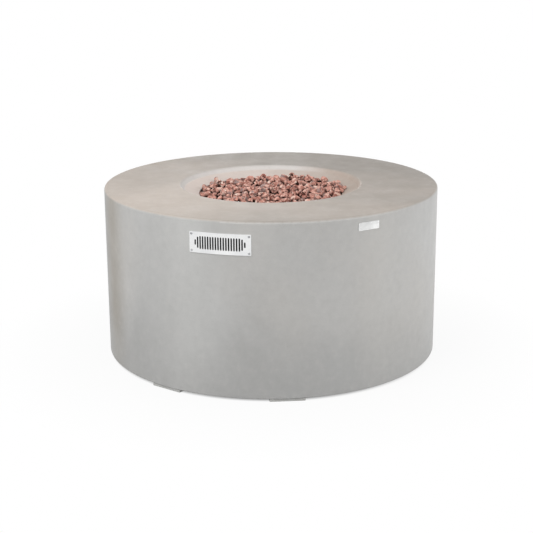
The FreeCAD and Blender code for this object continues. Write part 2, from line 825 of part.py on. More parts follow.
def make_burner_ring():
    body = new_body("burner_ring", LINE_ANGLE)
    middle = f"({PAN_FLOOR} + ring_lift + ring_tube_radius)"
    section = new_sketch(body, "section", "XZ_Plane")
    draw_circle(section, "ring_radius", middle, "ring_tube_radius")
    loop = add_feature(body, "Revolution", "loop", section)
    loop.ReferenceAxis = (section, ["V_Axis"])
    loop.Angle = 360
    document.recompute()
    cross = new_sketch(body, "cross_section", "YZ_Plane", "-ring_radius")
    draw_circle(cross, "0", middle, "cross_tube_radius")
    pad(body, cross, "cross_tube", "ring_radius * 2")
    turned(body, "hub", [
        ("0", f"{PAN_FLOOR} - stub_length"),
        ("stub_radius", f"{PAN_FLOOR} - stub_length"),
        ("stub_radius", PAN_FLOOR),
        ("hub_radius", PAN_FLOOR),
        ("hub_radius", f"{PAN_FLOOR} + hub_height"),
        ("0", f"{PAN_FLOOR} + hub_height"),
    ])
    bore = new_sketch(body, "stub_bore", "XY_Plane", f"{PAN_FLOOR} - stub_length")
    draw_circle(bore, "0", "0", "stub_bore")
    pocket(body, bore, "bore", "stub_length + hub_height / 2", forward=True)
    port = new_sketch(body, "port", "XY_Plane", f"{middle} + ring_tube_radius")
    draw_circle(port, "ring_radius * cos(180 / port_count)", "ring_radius * sin(180 / port_count)",
                "port_radius")
    first = pocket(body, port, "first_port", "port_depth")
    polar(body, "ports", [first], "port_count")


def make_burner_nut():
    body = new_body("burner_nut")
    top = f"({PAN_FLOOR} - pan_sheet)"
    outline = new_sketch(body, "hexagon", "XY_Plane", top)
    draw_hexagon(outline, "burner_nut_flats")
    draw_circle(outline, "0", "0", "stub_radius + thread_gap")
    pad(body, outline, "nut", "burner_nut_height", backward=True)


# Elbow from the burner's stub to the level gas line

def make_burner_elbow():
    body = new_line_body("burner_elbow")
    upright = new_sketch(body, "upright", "XZ_Plane")
    draw_circle(upright, "0", "0", "elbow_radius")
    pad(body, upright, "upright_arm", "elbow_drop - elbow_top", backward=True)
    turned(body, "corner", [
        ("0", "-elbow_radius"),
        ("elbow_radius - elbow_chamfer", "-elbow_radius"),
        ("elbow_radius", "-elbow_radius + elbow_chamfer"),
        ("elbow_radius", "elbow_reach"),
        ("0", "elbow_reach"),
    ])
    socket = new_sketch(body, "stub_socket", "XZ_Plane", "-(elbow_drop - elbow_top)")
    draw_circle(socket, "0", "0", "stub_radius + thread_gap")
    pocket(body, socket, "socket", "stub_length - elbow_top + end_gap", forward=True)
    passage = new_sketch(body, "passage", "XZ_Plane", "-(elbow_drop - elbow_top)")
    draw_circle(passage, "0", "0", "elbow_bore")
    pocket(body, passage, "down_passage", "elbow_drop - elbow_top", forward=True)
    turned(body, "line_passage", [
        ("0", "0"),
        ("elbow_bore", "0"),
        ("elbow_bore", "elbow_reach - elbow_socket"),
        ("stub_radius + thread_gap", "elbow_reach - elbow_socket"),
        ("stub_radius + thread_gap", "elbow_reach"),
        ("0", "elbow_reach"),
    ], groove=True)


# Air mixer: a tube with open slots round it, screwed into the elbow

def make_air_mixer():
    body = new_line_body("air_mixer")
    spigot = "(elbow_reach - mixer_spigot)"
    bore = "(stub_radius - mixer_spigot_wall)"
    wall_end = f"({MIXER_END} - mixer_end_wall)"
    turned(body, "tube", [
        (bore, spigot),
        ("stub_radius", spigot),
        ("stub_radius", "elbow_reach"),
        ("mixer_radius", "elbow_reach"),
        ("mixer_radius", MIXER_END),
        ("injector_radius + thread_gap", MIXER_END),
        ("injector_radius + thread_gap", wall_end),
        ("mixer_bore", wall_end),
        ("mixer_bore", "elbow_reach + mixer_end_wall"),
        (bore, "elbow_reach + mixer_end_wall"),
    ])
    window = new_sketch(body, "air_slot", "XZ_Plane", "mixer_radius * 2")
    half = "(mixer_slot_length - mixer_slot_width) / 2"
    centre = f"({MIXER_END} - mixer_slot_setback - mixer_slot_length / 2)"
    draw_slot(window, "0", f"{centre} - {half}", f"{centre} + {half}", "mixer_slot_width / 2")
    slot = pocket(body, window, "first_air_slot", "mixer_radius * 2")
    polar(body, "air_slots", [slot], "mixer_slot_count")


def make_injector():
    body = new_line_body("injector")
    hexagon = new_sketch(body, "hexagon", "XY_Plane", MIXER_END)
    draw_hexagon(hexagon, "injector_flats")
    pad(body, hexagon, "head", "injector_head")
    turned(body, "ends", [
        ("0", f"{MIXER_END} - injector_thread"),
        ("injector_radius / 2", f"{MIXER_END} - injector_thread"),
        ("injector_radius", f"{MIXER_END} - injector_thread / 2"),
        ("injector_radius", f"{MIXER_END} + injector_head / 2"),
        ("flare_radius", f"{MIXER_END} + injector_head / 2"),
        ("flare_radius", f"{INJECTOR_END} - flare_nose"),
        ("flare_radius - flare_nose", INJECTOR_END),
        ("0", INJECTOR_END),
    ])
    turned(body, "passage", [
        ("0", f"{MIXER_END} - injector_thread"),
        ("jet_radius", f"{MIXER_END} - injector_thread"),
        ("jet_radius", MIXER_END),
        ("flare_bore", f"{MIXER_END} + jet_taper"),
        ("flare_bore", INJECTOR_END),
        ("0", INJECTOR_END),
    ], groove=True)


# Flare nut, lapped over a male flare whose end is at the body's own origin, tube along +Z

def make_flare_nut(label, turn, at, tilt):
    body = new_body(label, turn, at, tilt)
    outline = new_sketch(body, "hexagon", "XY_Plane", "-flare_nut_lap")
    draw_hexagon(outline, "flare_nut_flats")
    pad(body, outline, "nut", "flare_nut_length")
    turned(body, "bore", [
        ("0", "-flare_nut_lap"),
        ("flare_radius + thread_gap", "-flare_nut_lap"),
        ("flare_radius + thread_gap", "flare_nut_gap"),
        ("tube_radius + hole_clearance", "flare_nut_gap + flare_nose"),
        ("tube_radius + hole_clearance", "flare_nut_length - flare_nut_lap"),
        ("0", "flare_nut_length - flare_nut_lap"),
    ], groove=True)


# Gas tube: level from the injector to over the valve, one bend, then down to the valve's outlet

def make_gas_tube():
    body = new_line_body("gas_tube")
    drop = f"({LINE_LEVEL} - control_height - {OUTLET_TOP})"
    path = new_sketch(body, "path", "YZ_Plane")
    start, corner, bend = size(INJECTOR_END), size(OUTLET_RADIUS), size("tube_bend")
    level = path.addGeometry(Part.LineSegment(
        FreeCAD.Vector(0, start, 0), FreeCAD.Vector(0, corner - bend, 0)), False)
    arc = path.addGeometry(Part.ArcOfCircle(
        Part.Circle(FreeCAD.Vector(-bend, corner - bend, 0), FreeCAD.Vector(0, 0, 1), bend),
        0, math.pi / 2), False)
    down = path.addGeometry(Part.LineSegment(
        FreeCAD.Vector(-bend, corner, 0), FreeCAD.Vector(-size(drop), corner, 0)), False)
    path.addConstraint(Sketcher.Constraint("Tangent", level, 2, arc, 1))
    path.addConstraint(Sketcher.Constraint("Tangent", arc, 2, down, 1))
    hold_point(path, level, 1, "0", INJECTOR_END)
    hold_point(path, down, 2, f"-{drop}", OUTLET_RADIUS)
    path.addConstraint(Sketcher.Constraint("Vertical", level))
    path.addConstraint(Sketcher.Constraint("Horizontal", down))
    hold(path, "Radius", arc, value="tube_bend")
    section = new_sketch(body, "section", "XY_Plane", INJECTOR_END)
    draw_circle(section, "0", "0", "tube_radius")
    draw_circle(section, "0", "0", "tube_bore")
    tube = add_feature(body, "AdditivePipe", "tube", section)
    tube.Spine = (path, [])
    document.recompute()


# Gas valve: cylindrical body with a tapered seat, an inlet boss below and an outlet boss above

def make_gas_valve():
    body = new_panel_body("gas_valve", "knob_x")
    ears = new_sketch(body, "ears", "XY_Plane", "-cap_thickness")
    draw_box(ears, "-cap_width / 2", "-cap_height / 2", "cap_width / 2", "cap_height / 2")
    block = pad(body, ears, "ear_plate", "valve_ear", backward=True)
    rounded(body, "ear_corners", block, straight("valve_ear", UP), "cap_corner")
    rear = "(-cap_thickness - valve_length)"
    turned(body, "barrel", [
        ("0", f"{rear} - magnet_length"),
        ("magnet_radius", f"{rear} - magnet_length"),
        ("magnet_radius", rear),
        ("valve_radius", f"{rear} + valve_step"),
        ("valve_radius", "-cap_thickness"),
        ("0", "-cap_thickness"),
    ])
    inlet = new_sketch(body, "inlet", "XZ_Plane")
    draw_circle(inlet, "0", "-port_reach", "boss_radius")
    pad(body, inlet, "inlet_boss", "boss_reach")
    outlet = new_sketch(body, "outlet", "XZ_Plane")
    draw_circle(outlet, "0", "-port_reach", "boss_radius")
    pad(body, outlet, "outlet_boss", "boss_reach", backward=True)
    flare = new_sketch(body, "flare", "XZ_Plane")
    draw_circle(flare, "0", "-port_reach", "flare_radius")
    pad(body, flare, "outlet_flare", OUTLET_TOP, backward=True)
    turned(body, "seat", [
        ("0", "-cap_thickness"),
        ("chamber_radius", "-cap_thickness"),
        ("chamber_radius", CHAMBER_FLOOR),
        ("plug_front_radius", CHAMBER_FLOOR),
        ("plug_rear_radius", f"{CHAMBER_FLOOR} - {SEAT_LENGTH}"),
        ("0", f"{CHAMBER_FLOOR} - {SEAT_LENGTH}"),
    ], groove=True)
    passage = new_sketch(body, "passage", "XZ_Plane", f"-{OUTLET_TOP}")
    draw_circle(passage, "0", "-port_reach", "flare_bore")
    pocket(body, passage, "gas_passage", f"{OUTLET_TOP} + boss_reach")
    mouth = new_sketch(body, "mouth", "XZ_Plane", "boss_reach")
    draw_circle(mouth, "0", "-port_reach", "injector_radius + thread_gap")
    pocket(body, mouth, "inlet_mouth", "inlet_thread + end_gap")
    holes = new_sketch(body, "screw_holes", "XY_Plane", "-cap_thickness")
    for x in ("-valve_screw_span / 2", "valve_screw_span / 2"):
        draw_circle(holes, x, VALVE_SCREW_ROW, "valve_screw_radius + thread_gap")
    pocket(body, holes, "ear_holes", f"valve_ear + {OVERCUT}")


def make_valve_cap():
    body = new_panel_body("valve_cap", "knob_x")
    plate = new_sketch(body, "plate", "XY_Plane", "-cap_thickness")
    draw_box(plate, "-cap_width / 2", "-cap_height / 2", "cap_width / 2", "cap_height / 2")
    block = pad(body, plate, "cap_plate", "cap_thickness")
    rounded(body, "corners", block, straight("cap_thickness", UP), "cap_corner")
    nose = new_sketch(body, "nose")
    draw_circle(nose, "0", "0", "cap_nose_radius")
    pad(body, nose, "stem_nose", "cap_nose_length")
    bore = new_sketch(body, "bore", "XY_Plane", "cap_nose_length")
    draw_circle(bore, "0", "0", "stem_radius + stem_gap")
    pocket(body, bore, "stem_bore", f"cap_nose_length + cap_thickness + {OVERCUT}")
    holes = new_sketch(body, "screw_holes")
    for x in ("-valve_screw_span / 2", "valve_screw_span / 2"):
        draw_circle(holes, x, VALVE_SCREW_ROW, "valve_screw_radius + hole_clearance")
    pocket(body, holes, "cap_holes", f"cap_thickness + {OVERCUT}")


# Tapered plug that the stem turns: a slot for the tang at its front, a cross passage near its end

def make_valve_plug():
    body = new_panel_body("valve_plug", "knob_x")
    taper = f"((plug_front_radius - plug_rear_radius) / {SEAT_LENGTH})"
    turned(body, "cone", [
        ("0", PLUG_FRONT),
        (f"plug_front_radius - plug_gap - {taper} * plug_setback", PLUG_FRONT),
        (f"plug_front_radius - plug_gap - {taper} * (plug_setback + plug_length)",
         f"{PLUG_FRONT} - plug_length"),
        ("0", f"{PLUG_FRONT} - plug_length"),
    ])
    slot = new_sketch(body, "slot", "XY_Plane", PLUG_FRONT)
    draw_box(slot, "-(tang_width / 2 + tang_gap)", "-(tang_thickness / 2 + tang_gap)",
             "tang_width / 2 + tang_gap", "tang_thickness / 2 + tang_gap")
    pocket(body, slot, "tang_slot", "tang_lap + push_travel + end_gap")
    passage = new_sketch(body, "passage", "YZ_Plane", "plug_front_radius * 2")
    draw_circle(passage, "0", "-port_reach", "plug_port_radius")
    pocket(body, passage, "cross_passage", "plug_front_radius * 4")


def make_valve_stem():
    body = new_panel_body("valve_stem", "knob_x")
    turned(body, "shaft", [
        ("0", f"{COLLAR_FRONT} - collar_thickness"),
        ("collar_radius", f"{COLLAR_FRONT} - collar_thickness"),
        ("collar_radius", COLLAR_FRONT),
        ("stem_radius", COLLAR_FRONT),
        ("stem_radius", f"{STEM_END} - stem_chamfer"),
        ("stem_radius - stem_chamfer", STEM_END),
        ("0", STEM_END),
    ])
    tang = new_sketch(body, "tang", "XY_Plane", f"{PLUG_FRONT} - tang_lap")
    draw_box(tang, "-tang_width / 2", "-tang_thickness / 2", "tang_width / 2", "tang_thickness / 2")
    pad(body, tang, "stem_tang", f"{COLLAR_FRONT} - collar_thickness - {PLUG_FRONT} + tang_lap")
    flat = new_sketch(body, "flat", "XY_Plane", STEM_END)
    draw_box(flat, "-stem_radius * 2", "stem_flat", "stem_radius * 2", "stem_radius * 2")
    pocket(body, flat, "stem_flat", "stem_lap + end_gap")


# Screws whose heads lie on a plane square to the body's Z axis

def add_screws(body, seat, spots, shank_radius, shank_length, head_radius, head_height):
    shanks = new_sketch(body, "shank", "XY_Plane", seat)
    heads = new_sketch(body, "head", "XY_Plane", seat)
    for x, y in spots:
        draw_circle(shanks, x, y, shank_radius)
        draw_circle(heads, x, y, head_radius)
    pad(body, shanks, "shanks", shank_length, backward=True)
    pad(body, heads, "heads", head_height)


def make_valve_screws():
    body = new_panel_body("valve_screws", "knob_x")
    spots = [(x, VALVE_SCREW_ROW) for x in ("-valve_screw_span / 2", "valve_screw_span / 2")]
    add_screws(body, "panel_sheet + bezel_flange", spots, "valve_screw_radius",
               "panel_sheet + bezel_flange + valve_screw_length - end_gap",
               "valve_head_radius", "valve_head_height")


# Male flare for the supply hose, pointing down; its own +Z is down

def make_gas_inlet():
    body = new_body("gas_inlet", "control_angle",
                    ("knob_x", f"-({PANEL_SEAT} - port_reach)", "control_height"), "180")
    hexagon = new_sketch(body, "hexagon", "XY_Plane", "boss_reach")
    draw_hexagon(hexagon, "inlet_flats")
    pad(body, hexagon, "head", "inlet_hex_height")
    end = "(boss_reach + inlet_hex_height + flare_length)"
    turned(body, "ends", [
        ("0", "boss_reach - inlet_thread"),
        ("injector_radius", "boss_reach - inlet_thread"),
        ("injector_radius", "boss_reach + inlet_hex_height / 2"),
        ("flare_radius", "boss_reach + inlet_hex_height / 2"),
        ("flare_radius", f"{end} - stem_chamfer"),
        ("flare_radius - stem_chamfer", end),
        ("0", end),
    ])
    turned(body, "passage", [
        ("0", "boss_reach - inlet_thread"),
        ("flare_bore", "boss_reach - inlet_thread"),
        ("flare_bore", end),
        ("0", end),
    ], groove=True)


def make_control_panel():
    body = new_panel_body("control_panel")
    plate = new_sketch(body, "plate")
    draw_box(plate, "-panel_width / 2", "-panel_height / 2", "panel_width / 2", "panel_height / 2")
    block = pad(body, plate, "panel_plate", "panel_sheet")
    rounded(body, "corners", block, straight("panel_sheet", UP), "panel_corner")
    holes = new_sketch(body, "holes")
    draw_circle(holes, "knob_x", "0", NOSE_HOLE)
    draw_circle(holes, "igniter_x", "0", "igniter_radius + hole_clearance")
    for x in ("-valve_screw_span / 2", "valve_screw_span / 2"):
        draw_circle(holes, f"knob_x + {x}", VALVE_SCREW_ROW, "valve_screw_radius + hole_clearance")
    for x, y in panel_screw_spots():
        draw_circle(holes, x, y, "panel_screw_radius + hole_clearance")
    pocket(body, holes, "panel_holes", f"panel_sheet + {OVERCUT}", forward=True)


def panel_screw_spots():
    return [(x, y) for x in ("-panel_screw_span_x / 2", "panel_screw_span_x / 2")
            for y in ("-panel_screw_span_y / 2", "panel_screw_span_y / 2")]


def make_panel_screws():
    body = new_panel_body("panel_screws")
    add_screws(body, "panel_sheet", panel_screw_spots(), "panel_screw_radius",
               "panel_sheet + panel_screw_length - end_gap", "panel_head_radius", "panel_head_height")


def make_knob_bezel():
    body = new_panel_body("knob_bezel", "knob_x")
    turned(body, "ring", [
        (NOSE_HOLE, "panel_sheet"),
        ("bezel_radius", "panel_sheet"),
        ("bezel_radius", "panel_sheet + bezel_height - bezel_chamfer"),
        ("bezel_radius - bezel_chamfer", "panel_sheet + bezel_height"),
        ("bezel_inner_radius", "panel_sheet + bezel_height"),
        ("bezel_inner_radius", "panel_sheet + bezel_flange"),
        (NOSE_HOLE, "panel_sheet + bezel_flange"),
    ])
    holes = new_sketch(body, "screw_holes", "XY_Plane", "panel_sheet")
    for x in ("-valve_screw_span / 2", "valve_screw_span / 2"):
        draw_circle(holes, x, VALVE_SCREW_ROW, "valve_screw_radius + hole_clearance")
    pocket(body, holes, "bezel_holes", f"bezel_flange + {OVERCUT}", forward=True)


# Knob: a round skirt with a hollow back, a bar to grip, a pointer line and a boss with a D bore

def make_control_knob():
    body = new_panel_body("control_knob", "knob_x")
    skirt_top = f"({KNOB_BACK} + knob_skirt)"
    turned(body, "skirt", [
        ("0", f"{KNOB_BACK} + knob_hollow"),
        ("knob_radius - knob_wall", f"{KNOB_BACK} + knob_hollow"),
        ("knob_radius - knob_wall", KNOB_BACK),
        ("knob_radius", KNOB_BACK),
        ("knob_radius", f"{skirt_top} - knob_chamfer"),
        ("knob_radius - knob_chamfer", skirt_top),
        ("0", skirt_top),
    ])
    grip = new_sketch(body, "grip", "XY_Plane", skirt_top)
    draw_slot(grip, "0", "-(grip_length - grip_width) / 2", "(grip_length - grip_width) / 2",
              "grip_width / 2")
    bar = pad(body, grip, "grip_bar", "knob_depth - knob_skirt")
    front = f"{KNOB_BACK} + knob_depth"
    rounded(body, "grip_edge", bar, at_level(front), "grip_round")
    pointer = new_sketch(body, "pointer", "XY_Plane", front)
    draw_box(pointer, "-pointer_width / 2", "grip_length / 2 - pointer_length",
             "pointer_width / 2", f"grip_length / 2 + {OVERCUT}")
    pocket(body, pointer, "pointer_line", "pointer_depth")
    boss = new_sketch(body, "boss", "XY_Plane", KNOB_BACK)
    draw_circle(boss, "0", "0", "knob_boss_radius")
    pad(body, boss, "stem_boss", f"knob_hollow + {OVERCUT}")
    bore = new_sketch(body, "bore", "XY_Plane", KNOB_BACK)
    draw_d_bore(bore, "stem_radius + thread_gap", "stem_flat + thread_gap")
    pocket(body, bore, "stem_bore", "stem_lap + end_gap", forward=True)


def at_level(level):
    height = size(level)

    def is_at_level(edge):
        return all(abs(vertex.Z - height) < NEAR for vertex in edge.Vertexes)
    return is_at_level


# A circle cut by a level chord above its centre

def draw_d_bore(sketch, radius, flat):
    reach, chord = size(radius), size(flat)
    half = math.sqrt(reach ** 2 - chord ** 2)
    start = math.atan2(chord, half)
    arc = sketch.addGeometry(Part.ArcOfCircle(
        Part.Circle(FreeCAD.Vector(), FreeCAD.Vector(0, 0, 1), reach),
        math.pi - start, 2 * math.pi + start), False)
    line = sketch.addGeometry(Part.LineSegment(
        FreeCAD.Vector(half, chord, 0), FreeCAD.Vector(-half, chord, 0)), False)
    sketch.addConstraint(Sketcher.Constraint("Coincident", arc, 2, line, 1))
    sketch.addConstraint(Sketcher.Constraint("Coincident", line, 2, arc, 1))
    sketch.addConstraint(Sketcher.Constraint("Horizontal", line))
    sketch.addConstraint(Sketcher.Constraint("Coincident", arc, 3, -1, 1))
    hold(sketch, "Radius", arc, value=radius)
    hold(sketch, "DistanceY", -1, 1, line, 1, value=flat)


# Igniter: a threaded tube through the panel that holds a battery, with a button in its mouth

def make_igniter_housing():
    body = new_panel_body("igniter_housing", "igniter_x")
    rear = "-igniter_length"
    turned(body, "tube", [
        ("0", rear),
        ("igniter_radius", rear),
        ("igniter_radius", "panel_sheet"),
        ("igniter_flange_radius", "panel_sheet"),
        ("igniter_flange_radius", f"{IGNITER_MOUTH} - igniter_chamfer"),
        ("igniter_flange_radius - igniter_chamfer", IGNITER_MOUTH),
        ("igniter_bore", IGNITER_MOUTH),
        ("igniter_bore", f"{rear} + igniter_floor"),
        ("0", f"{rear} + igniter_floor"),
    ])
    terminal = new_sketch(body, "terminal", "XY_Plane", rear)
    draw_box(terminal, "-terminal_width / 2", "-terminal_thickness / 2",
             "terminal_width / 2", "terminal_thickness / 2")
    pad(body, terminal, "blade", "terminal_length", backward=True)


def make_igniter_nut():
    body = new_panel_body("igniter_nut", "igniter_x")
    outline = new_sketch(body, "hexagon")
    draw_hexagon(outline, "igniter_nut_flats")
    draw_circle(outline, "0", "0", "igniter_radius + thread_gap")
    pad(body, outline, "nut", "igniter_nut_height", backward=True)


def make_igniter_button():
    body = new_panel_body("igniter_button", "igniter_x")
    face = f"({BUTTON_UNDERSIDE} + button_height)"
    turned(body, "cap", [
        ("0", f"{BUTTON_UNDERSIDE} - button_stem_length"),
        ("button_stem_radius", f"{BUTTON_UNDERSIDE} - button_stem_length"),
        ("button_stem_radius", BUTTON_UNDERSIDE),
        ("button_radius", BUTTON_UNDERSIDE),
        ("button_radius", f"{face} - button_chamfer"),
        ("button_radius - button_chamfer", face),
        ("0", f"{face} + button_crown"),
    ])


def make_igniter_battery():
    body = new_panel_body("igniter_battery", "igniter_x")
    rear = "(-igniter_length + igniter_floor + end_gap)"
    front = f"({rear} + battery_length)"
    turned(body, "cell", [
        ("0", rear),
        ("battery_radius", rear),
        ("battery_radius", f"{front} - battery_nub_height"),
        ("battery_nub_radius", f"{front} - battery_nub_height"),
        ("battery_nub_radius", front),
        ("0", front),
    ])


# Folded guard over the electrode and the thermocouple, open towards the burner ring

def make_ignition_guard():
    body = new_body("ignition_guard", "control_angle + ignition_turn")
    front = "(-ignition_radius - guard_depth / 2)"
    rear = "(-ignition_radius + guard_depth / 2)"
    top = f"({PAN_FLOOR} + guard_height)"
    section = new_sketch(body, "section", "YZ_Plane", "-guard_width / 2")
    draw_outline(section, [
        (front, PAN_FLOOR),
        (rear, PAN_FLOOR),
        (rear, top),
        (front, top),
        (front, f"{top} - guard_sheet"),
        (f"{rear} - guard_sheet", f"{top} - guard_sheet"),
        (f"{rear} - guard_sheet", f"{PAN_FLOOR} + guard_sheet"),
        (front, f"{PAN_FLOOR} + guard_sheet"),
    ])
    pad(body, section, "folded_sheet", "guard_width")
    holes = new_sketch(body, "holes", "XY_Plane", PAN_FLOOR)
    draw_circle(holes, "ignition_span / 2", "-ignition_radius", "electrode_radius + hole_clearance")
    draw_circle(holes, "-ignition_span / 2", "-ignition_radius",
                "thermocouple_radius + hole_clearance")
    pocket(body, holes, "probe_holes", f"guard_sheet + {OVERCUT}", forward=True)


def new_probe_body(label, sign):
    return new_body(label, "control_angle + ignition_turn",
                    (f"{sign}ignition_span / 2", "-ignition_radius", f"{PAN_FLOOR} + guard_sheet"))


def make_spark_electrode():
    body = new_probe_body("spark_electrode", "")
    turned(body, "ceramic", [
        ("0", "-electrode_drop - electrode_pin"),
        ("electrode_wire", "-electrode_drop - electrode_pin"),
        ("electrode_wire", "-electrode_drop"),
        ("electrode_radius", "-electrode_drop"),
        ("electrode_radius", "0"),
        ("electrode_shoulder", "0"),
        ("electrode_shoulder", "shoulder_height"),
        ("electrode_radius", "shoulder_height"),
        ("electrode_radius", "electrode_rise"),
        ("electrode_wire", "electrode_rise"),
        ("electrode_wire", "electrode_rise + spark_rise + electrode_wire"),
        ("0", "electrode_rise + spark_rise + electrode_wire"),
    ])
    tip = new_sketch(body, "tip", "XZ_Plane")
    draw_circle(tip, "0", "electrode_rise + spark_rise", "electrode_wire")
    pad(body, tip, "spark_tip", "ring_radius - ring_tube_radius - ignition_radius - spark_gap")


def make_thermocouple():
    body = new_probe_body("thermocouple", "-")
    turned(body, "sheath", [
        ("0", "-thermocouple_drop"),
        ("thermocouple_radius", "-thermocouple_drop"),
        ("thermocouple_radius", "0"),
        ("thermocouple_shoulder", "0"),
        ("thermocouple_shoulder", "shoulder_height"),
        ("thermocouple_tip", "shoulder_height"),
        ("thermocouple_tip", "thermocouple_rise - thermocouple_nose"),
        ("thermocouple_tip - thermocouple_nose", "thermocouple_rise"),
        ("0", "thermocouple_rise"),
    ])


# Nut that holds the thermocouple's end in the back of the valve

def make_thermocouple_nut():
    body = new_panel_body("thermocouple_nut", "knob_x")
    rear = "(-cap_thickness - valve_length - magnet_length)"
    outline = new_sketch(body, "hexagon", "XY_Plane", rear)
    draw_hexagon(outline, "thermocouple_nut_flats")
    pad(body, outline, "nut", "thermocouple_nut_length", backward=True)


# A lead along straight runs joined by tangent arcs, each as large as its two runs allow

def lead_wire(points, radius):
    spots = [FreeCAD.Vector(*point) for point in points]
    edges = []
    start = spots[0]
    radii = []
    for before, corner, after in zip(spots, spots[1:], spots[2:]):
        inward = (corner - before).normalize()
        outward = (after - corner).normalize()
        half_turn = inward.getAngle(outward) / 2
        reach = 0.45 * min(before.distanceToPoint(corner), corner.distanceToPoint(after))
        radii.append(reach / math.tan(half_turn))
        arc_start = corner - inward * reach
        arc_end = corner + outward * reach
        middle_direction = (outward - inward).normalize()
        sag = radii[-1] / math.cos(half_turn) - radii[-1]
        edges.append(Part.LineSegment(start, arc_start).toShape())
        edges.append(Part.Arc(arc_start, corner + middle_direction * sag, arc_end).toShape())
        start = arc_end
    edges.append(Part.LineSegment(start, spots[-1]).toShape())
    path = Part.Wire(edges)
    print(f"lead of radius {radius}: length {path.Length:.0f}, bends {min(radii):.0f} to {max(radii):.0f}")
    return path


def make_lead(label, points, radius_alias):
    radius = size(radius_alias)
    path = lead_wire(points, radius)
    first = FreeCAD.Vector(*points[0])
    direction = FreeCAD.Vector(*points[1]) - first
    section = Part.Wire([Part.makeCircle(radius, first, direction)])
    lead = document.addObject("Part::Feature", label)
    lead.Label = label
    lead.Shape = path.makePipeShell([section], True, False)
    lead.Placement = FreeCAD.Placement(FreeCAD.Vector(), FreeCAD.Rotation(UP, size("control_angle")))
    subparts.append(lead)


# The point a little way from another along one axis, so that a lead leaves its end squarely

def beside(point, axis, distance):
    moved = list(point)
    moved[axis] += distance
    return tuple(moved)


# A point beside the burner, as the control panel's frame sees it

def probe_point(side, level):
    turn = math.radians(size("ignition_turn"))
    x, y = size(side), -size("ignition_radius")
    return (x * math.cos(turn) - y * math.sin(turn), x * math.sin(turn) + y * math.cos(turn), size(level))


def make_leads():
    electrode_foot = probe_point("ignition_span / 2",
                                 f"{PAN_FLOOR} + guard_sheet - electrode_drop - electrode_pin")
    terminal = (size("igniter_x"), -size(f"{PANEL_SEAT} - igniter_length - terminal_length"),
                size("control_height"))
    make_lead("electrode_lead", [
        electrode_foot,
        beside(electrode_foot, 2, -21),
        (57, -84, 384),
        (54, -124, 367),
        (51, -176, 355),
        (46, -230, 346),
        (41, -284, 341),
        (36, -334, 336),
        beside(terminal, 1, 40),
        terminal,
    ], "electrode_lead_radius")
    thermocouple_foot = probe_point("-ignition_span / 2",
                                    f"{PAN_FLOOR} + guard_sheet - thermocouple_drop")
    valve_end = (size("knob_x"),
                 -size(f"{PANEL_SEAT} - cap_thickness - valve_length - magnet_length"
                       " - thermocouple_nut_length"),
                 size("control_height"))
    make_lead("thermocouple_lead", [
        thermocouple_foot,
        beside(thermocouple_foot, 2, -22),
        (36, -96, 386),
        (29, -138, 368),
        (18, -190, 356),
        (6, -244, 348),
        (-6, -296, 341),
        (-15, -344, 335),
        beside(valve_end, 1, 42),
        valve_end,
    ], "thermocouple_lead_radius")


# Lava rock: each piece is the space nearest its own seed, cut down by planes as if broken

def box_faces(low, high):
    corners = [FreeCAD.Vector(x, y, z) for x in (low.x, high.x) for y in (low.y, high.y)
               for z in (low.z, high.z)]
    sides = ((0, 1, 3, 2), (4, 6, 7, 5), (0, 4, 5, 1), (2, 3, 7, 6), (0, 2, 6, 4), (1, 5, 7, 3))
    return [[corners[i] for i in side] for side in sides]


# Keep the part of a convex solid, held as a list of polygons, below a plane

def trimmed(faces, normal, reach):
    highest = max(normal.dot(point) for face in faces for point in face)
    if highest - reach < 0.1:
        return faces
    kept = []
    rim = []
    for face in faces:
        polygon = []
        for first, second in zip(face, face[1:] + face[:1]):
            over, next_over = normal.dot(first) - reach, normal.dot(second) - reach
            if over <= 0:
                polygon.append(first)
            if over * next_over < 0:
                crossing = first + (second - first) * (over / (over - next_over))
                polygon.append(crossing)
                if not any(crossing.distanceToPoint(point) < 1e-6 for point in rim):
                    rim.append(crossing)
        if len(polygon) > 2:
            kept.append(polygon)
    middle = sum(rim, FreeCAD.Vector()) * (1 / len(rim))
    across = (rim[0] - middle).normalize()
    other = normal.cross(across)
    rim.sort(key=lambda point: math.atan2((point - middle).dot(other), (point - middle).dot(across)))
    return kept + [rim]


def solid_of(faces):
    shell = Part.Shell([Part.Face(Part.makePolygon(face + face[:1])) for face in faces])
    solid = Part.Solid(shell)
    if solid.Volume < 0:
        solid.reverse()
    return solid


def broken(faces, seed, chance, cuts, bite):
    for _ in range(cuts):
        turn, rise = chance.uniform(0, 2 * math.pi), chance.uniform(-0.3, 1)
        normal = FreeCAD.Vector(math.cos(turn), math.sin(turn), rise).normalize()
        height = max(normal.dot(point - seed) for face in faces for point in face)
        faces = trimmed(faces, normal, normal.dot(seed) + height * chance.uniform(*bite))
    return faces


def seeds_on_grid(pitch, chance, wanted, level, jitter):
    seeds = []
    reach = int(2 * size("slope_foot_radius") / pitch)
    for row in range(-reach, reach + 1):
        for column in range(-reach, reach + 1):
            x = (column + row / 2) * pitch + chance.uniform(-jitter, jitter) * pitch
            y = row * pitch * math.sqrt(3) / 2 + chance.uniform(-jitter, jitter) * pitch
            lift = chance.uniform(-jitter, jitter) * pitch
            if wanted(x, y):
                seeds.append(FreeCAD.Vector(x, y, level + lift))
    return seeds


# The space between a seed and its neighbours, with half a gap on each side

def cell(seed, seeds, pitch, low, high, gap):
    room = FreeCAD.Vector(pitch * 0.7, pitch * 0.7, 0)
    faces = box_faces(FreeCAD.Vector(seed.x, seed.y, low) - room, FreeCAD.Vector(seed.x, seed.y, high) + room)
    for other in seeds:
        distance = seed.distanceToPoint(other)
        if 0 < distance < pitch * 2.2:
            normal = (other - seed).normalize()
            faces = trimmed(faces, normal, normal.dot((seed + other) * 0.5) - gap / 2)
    return faces


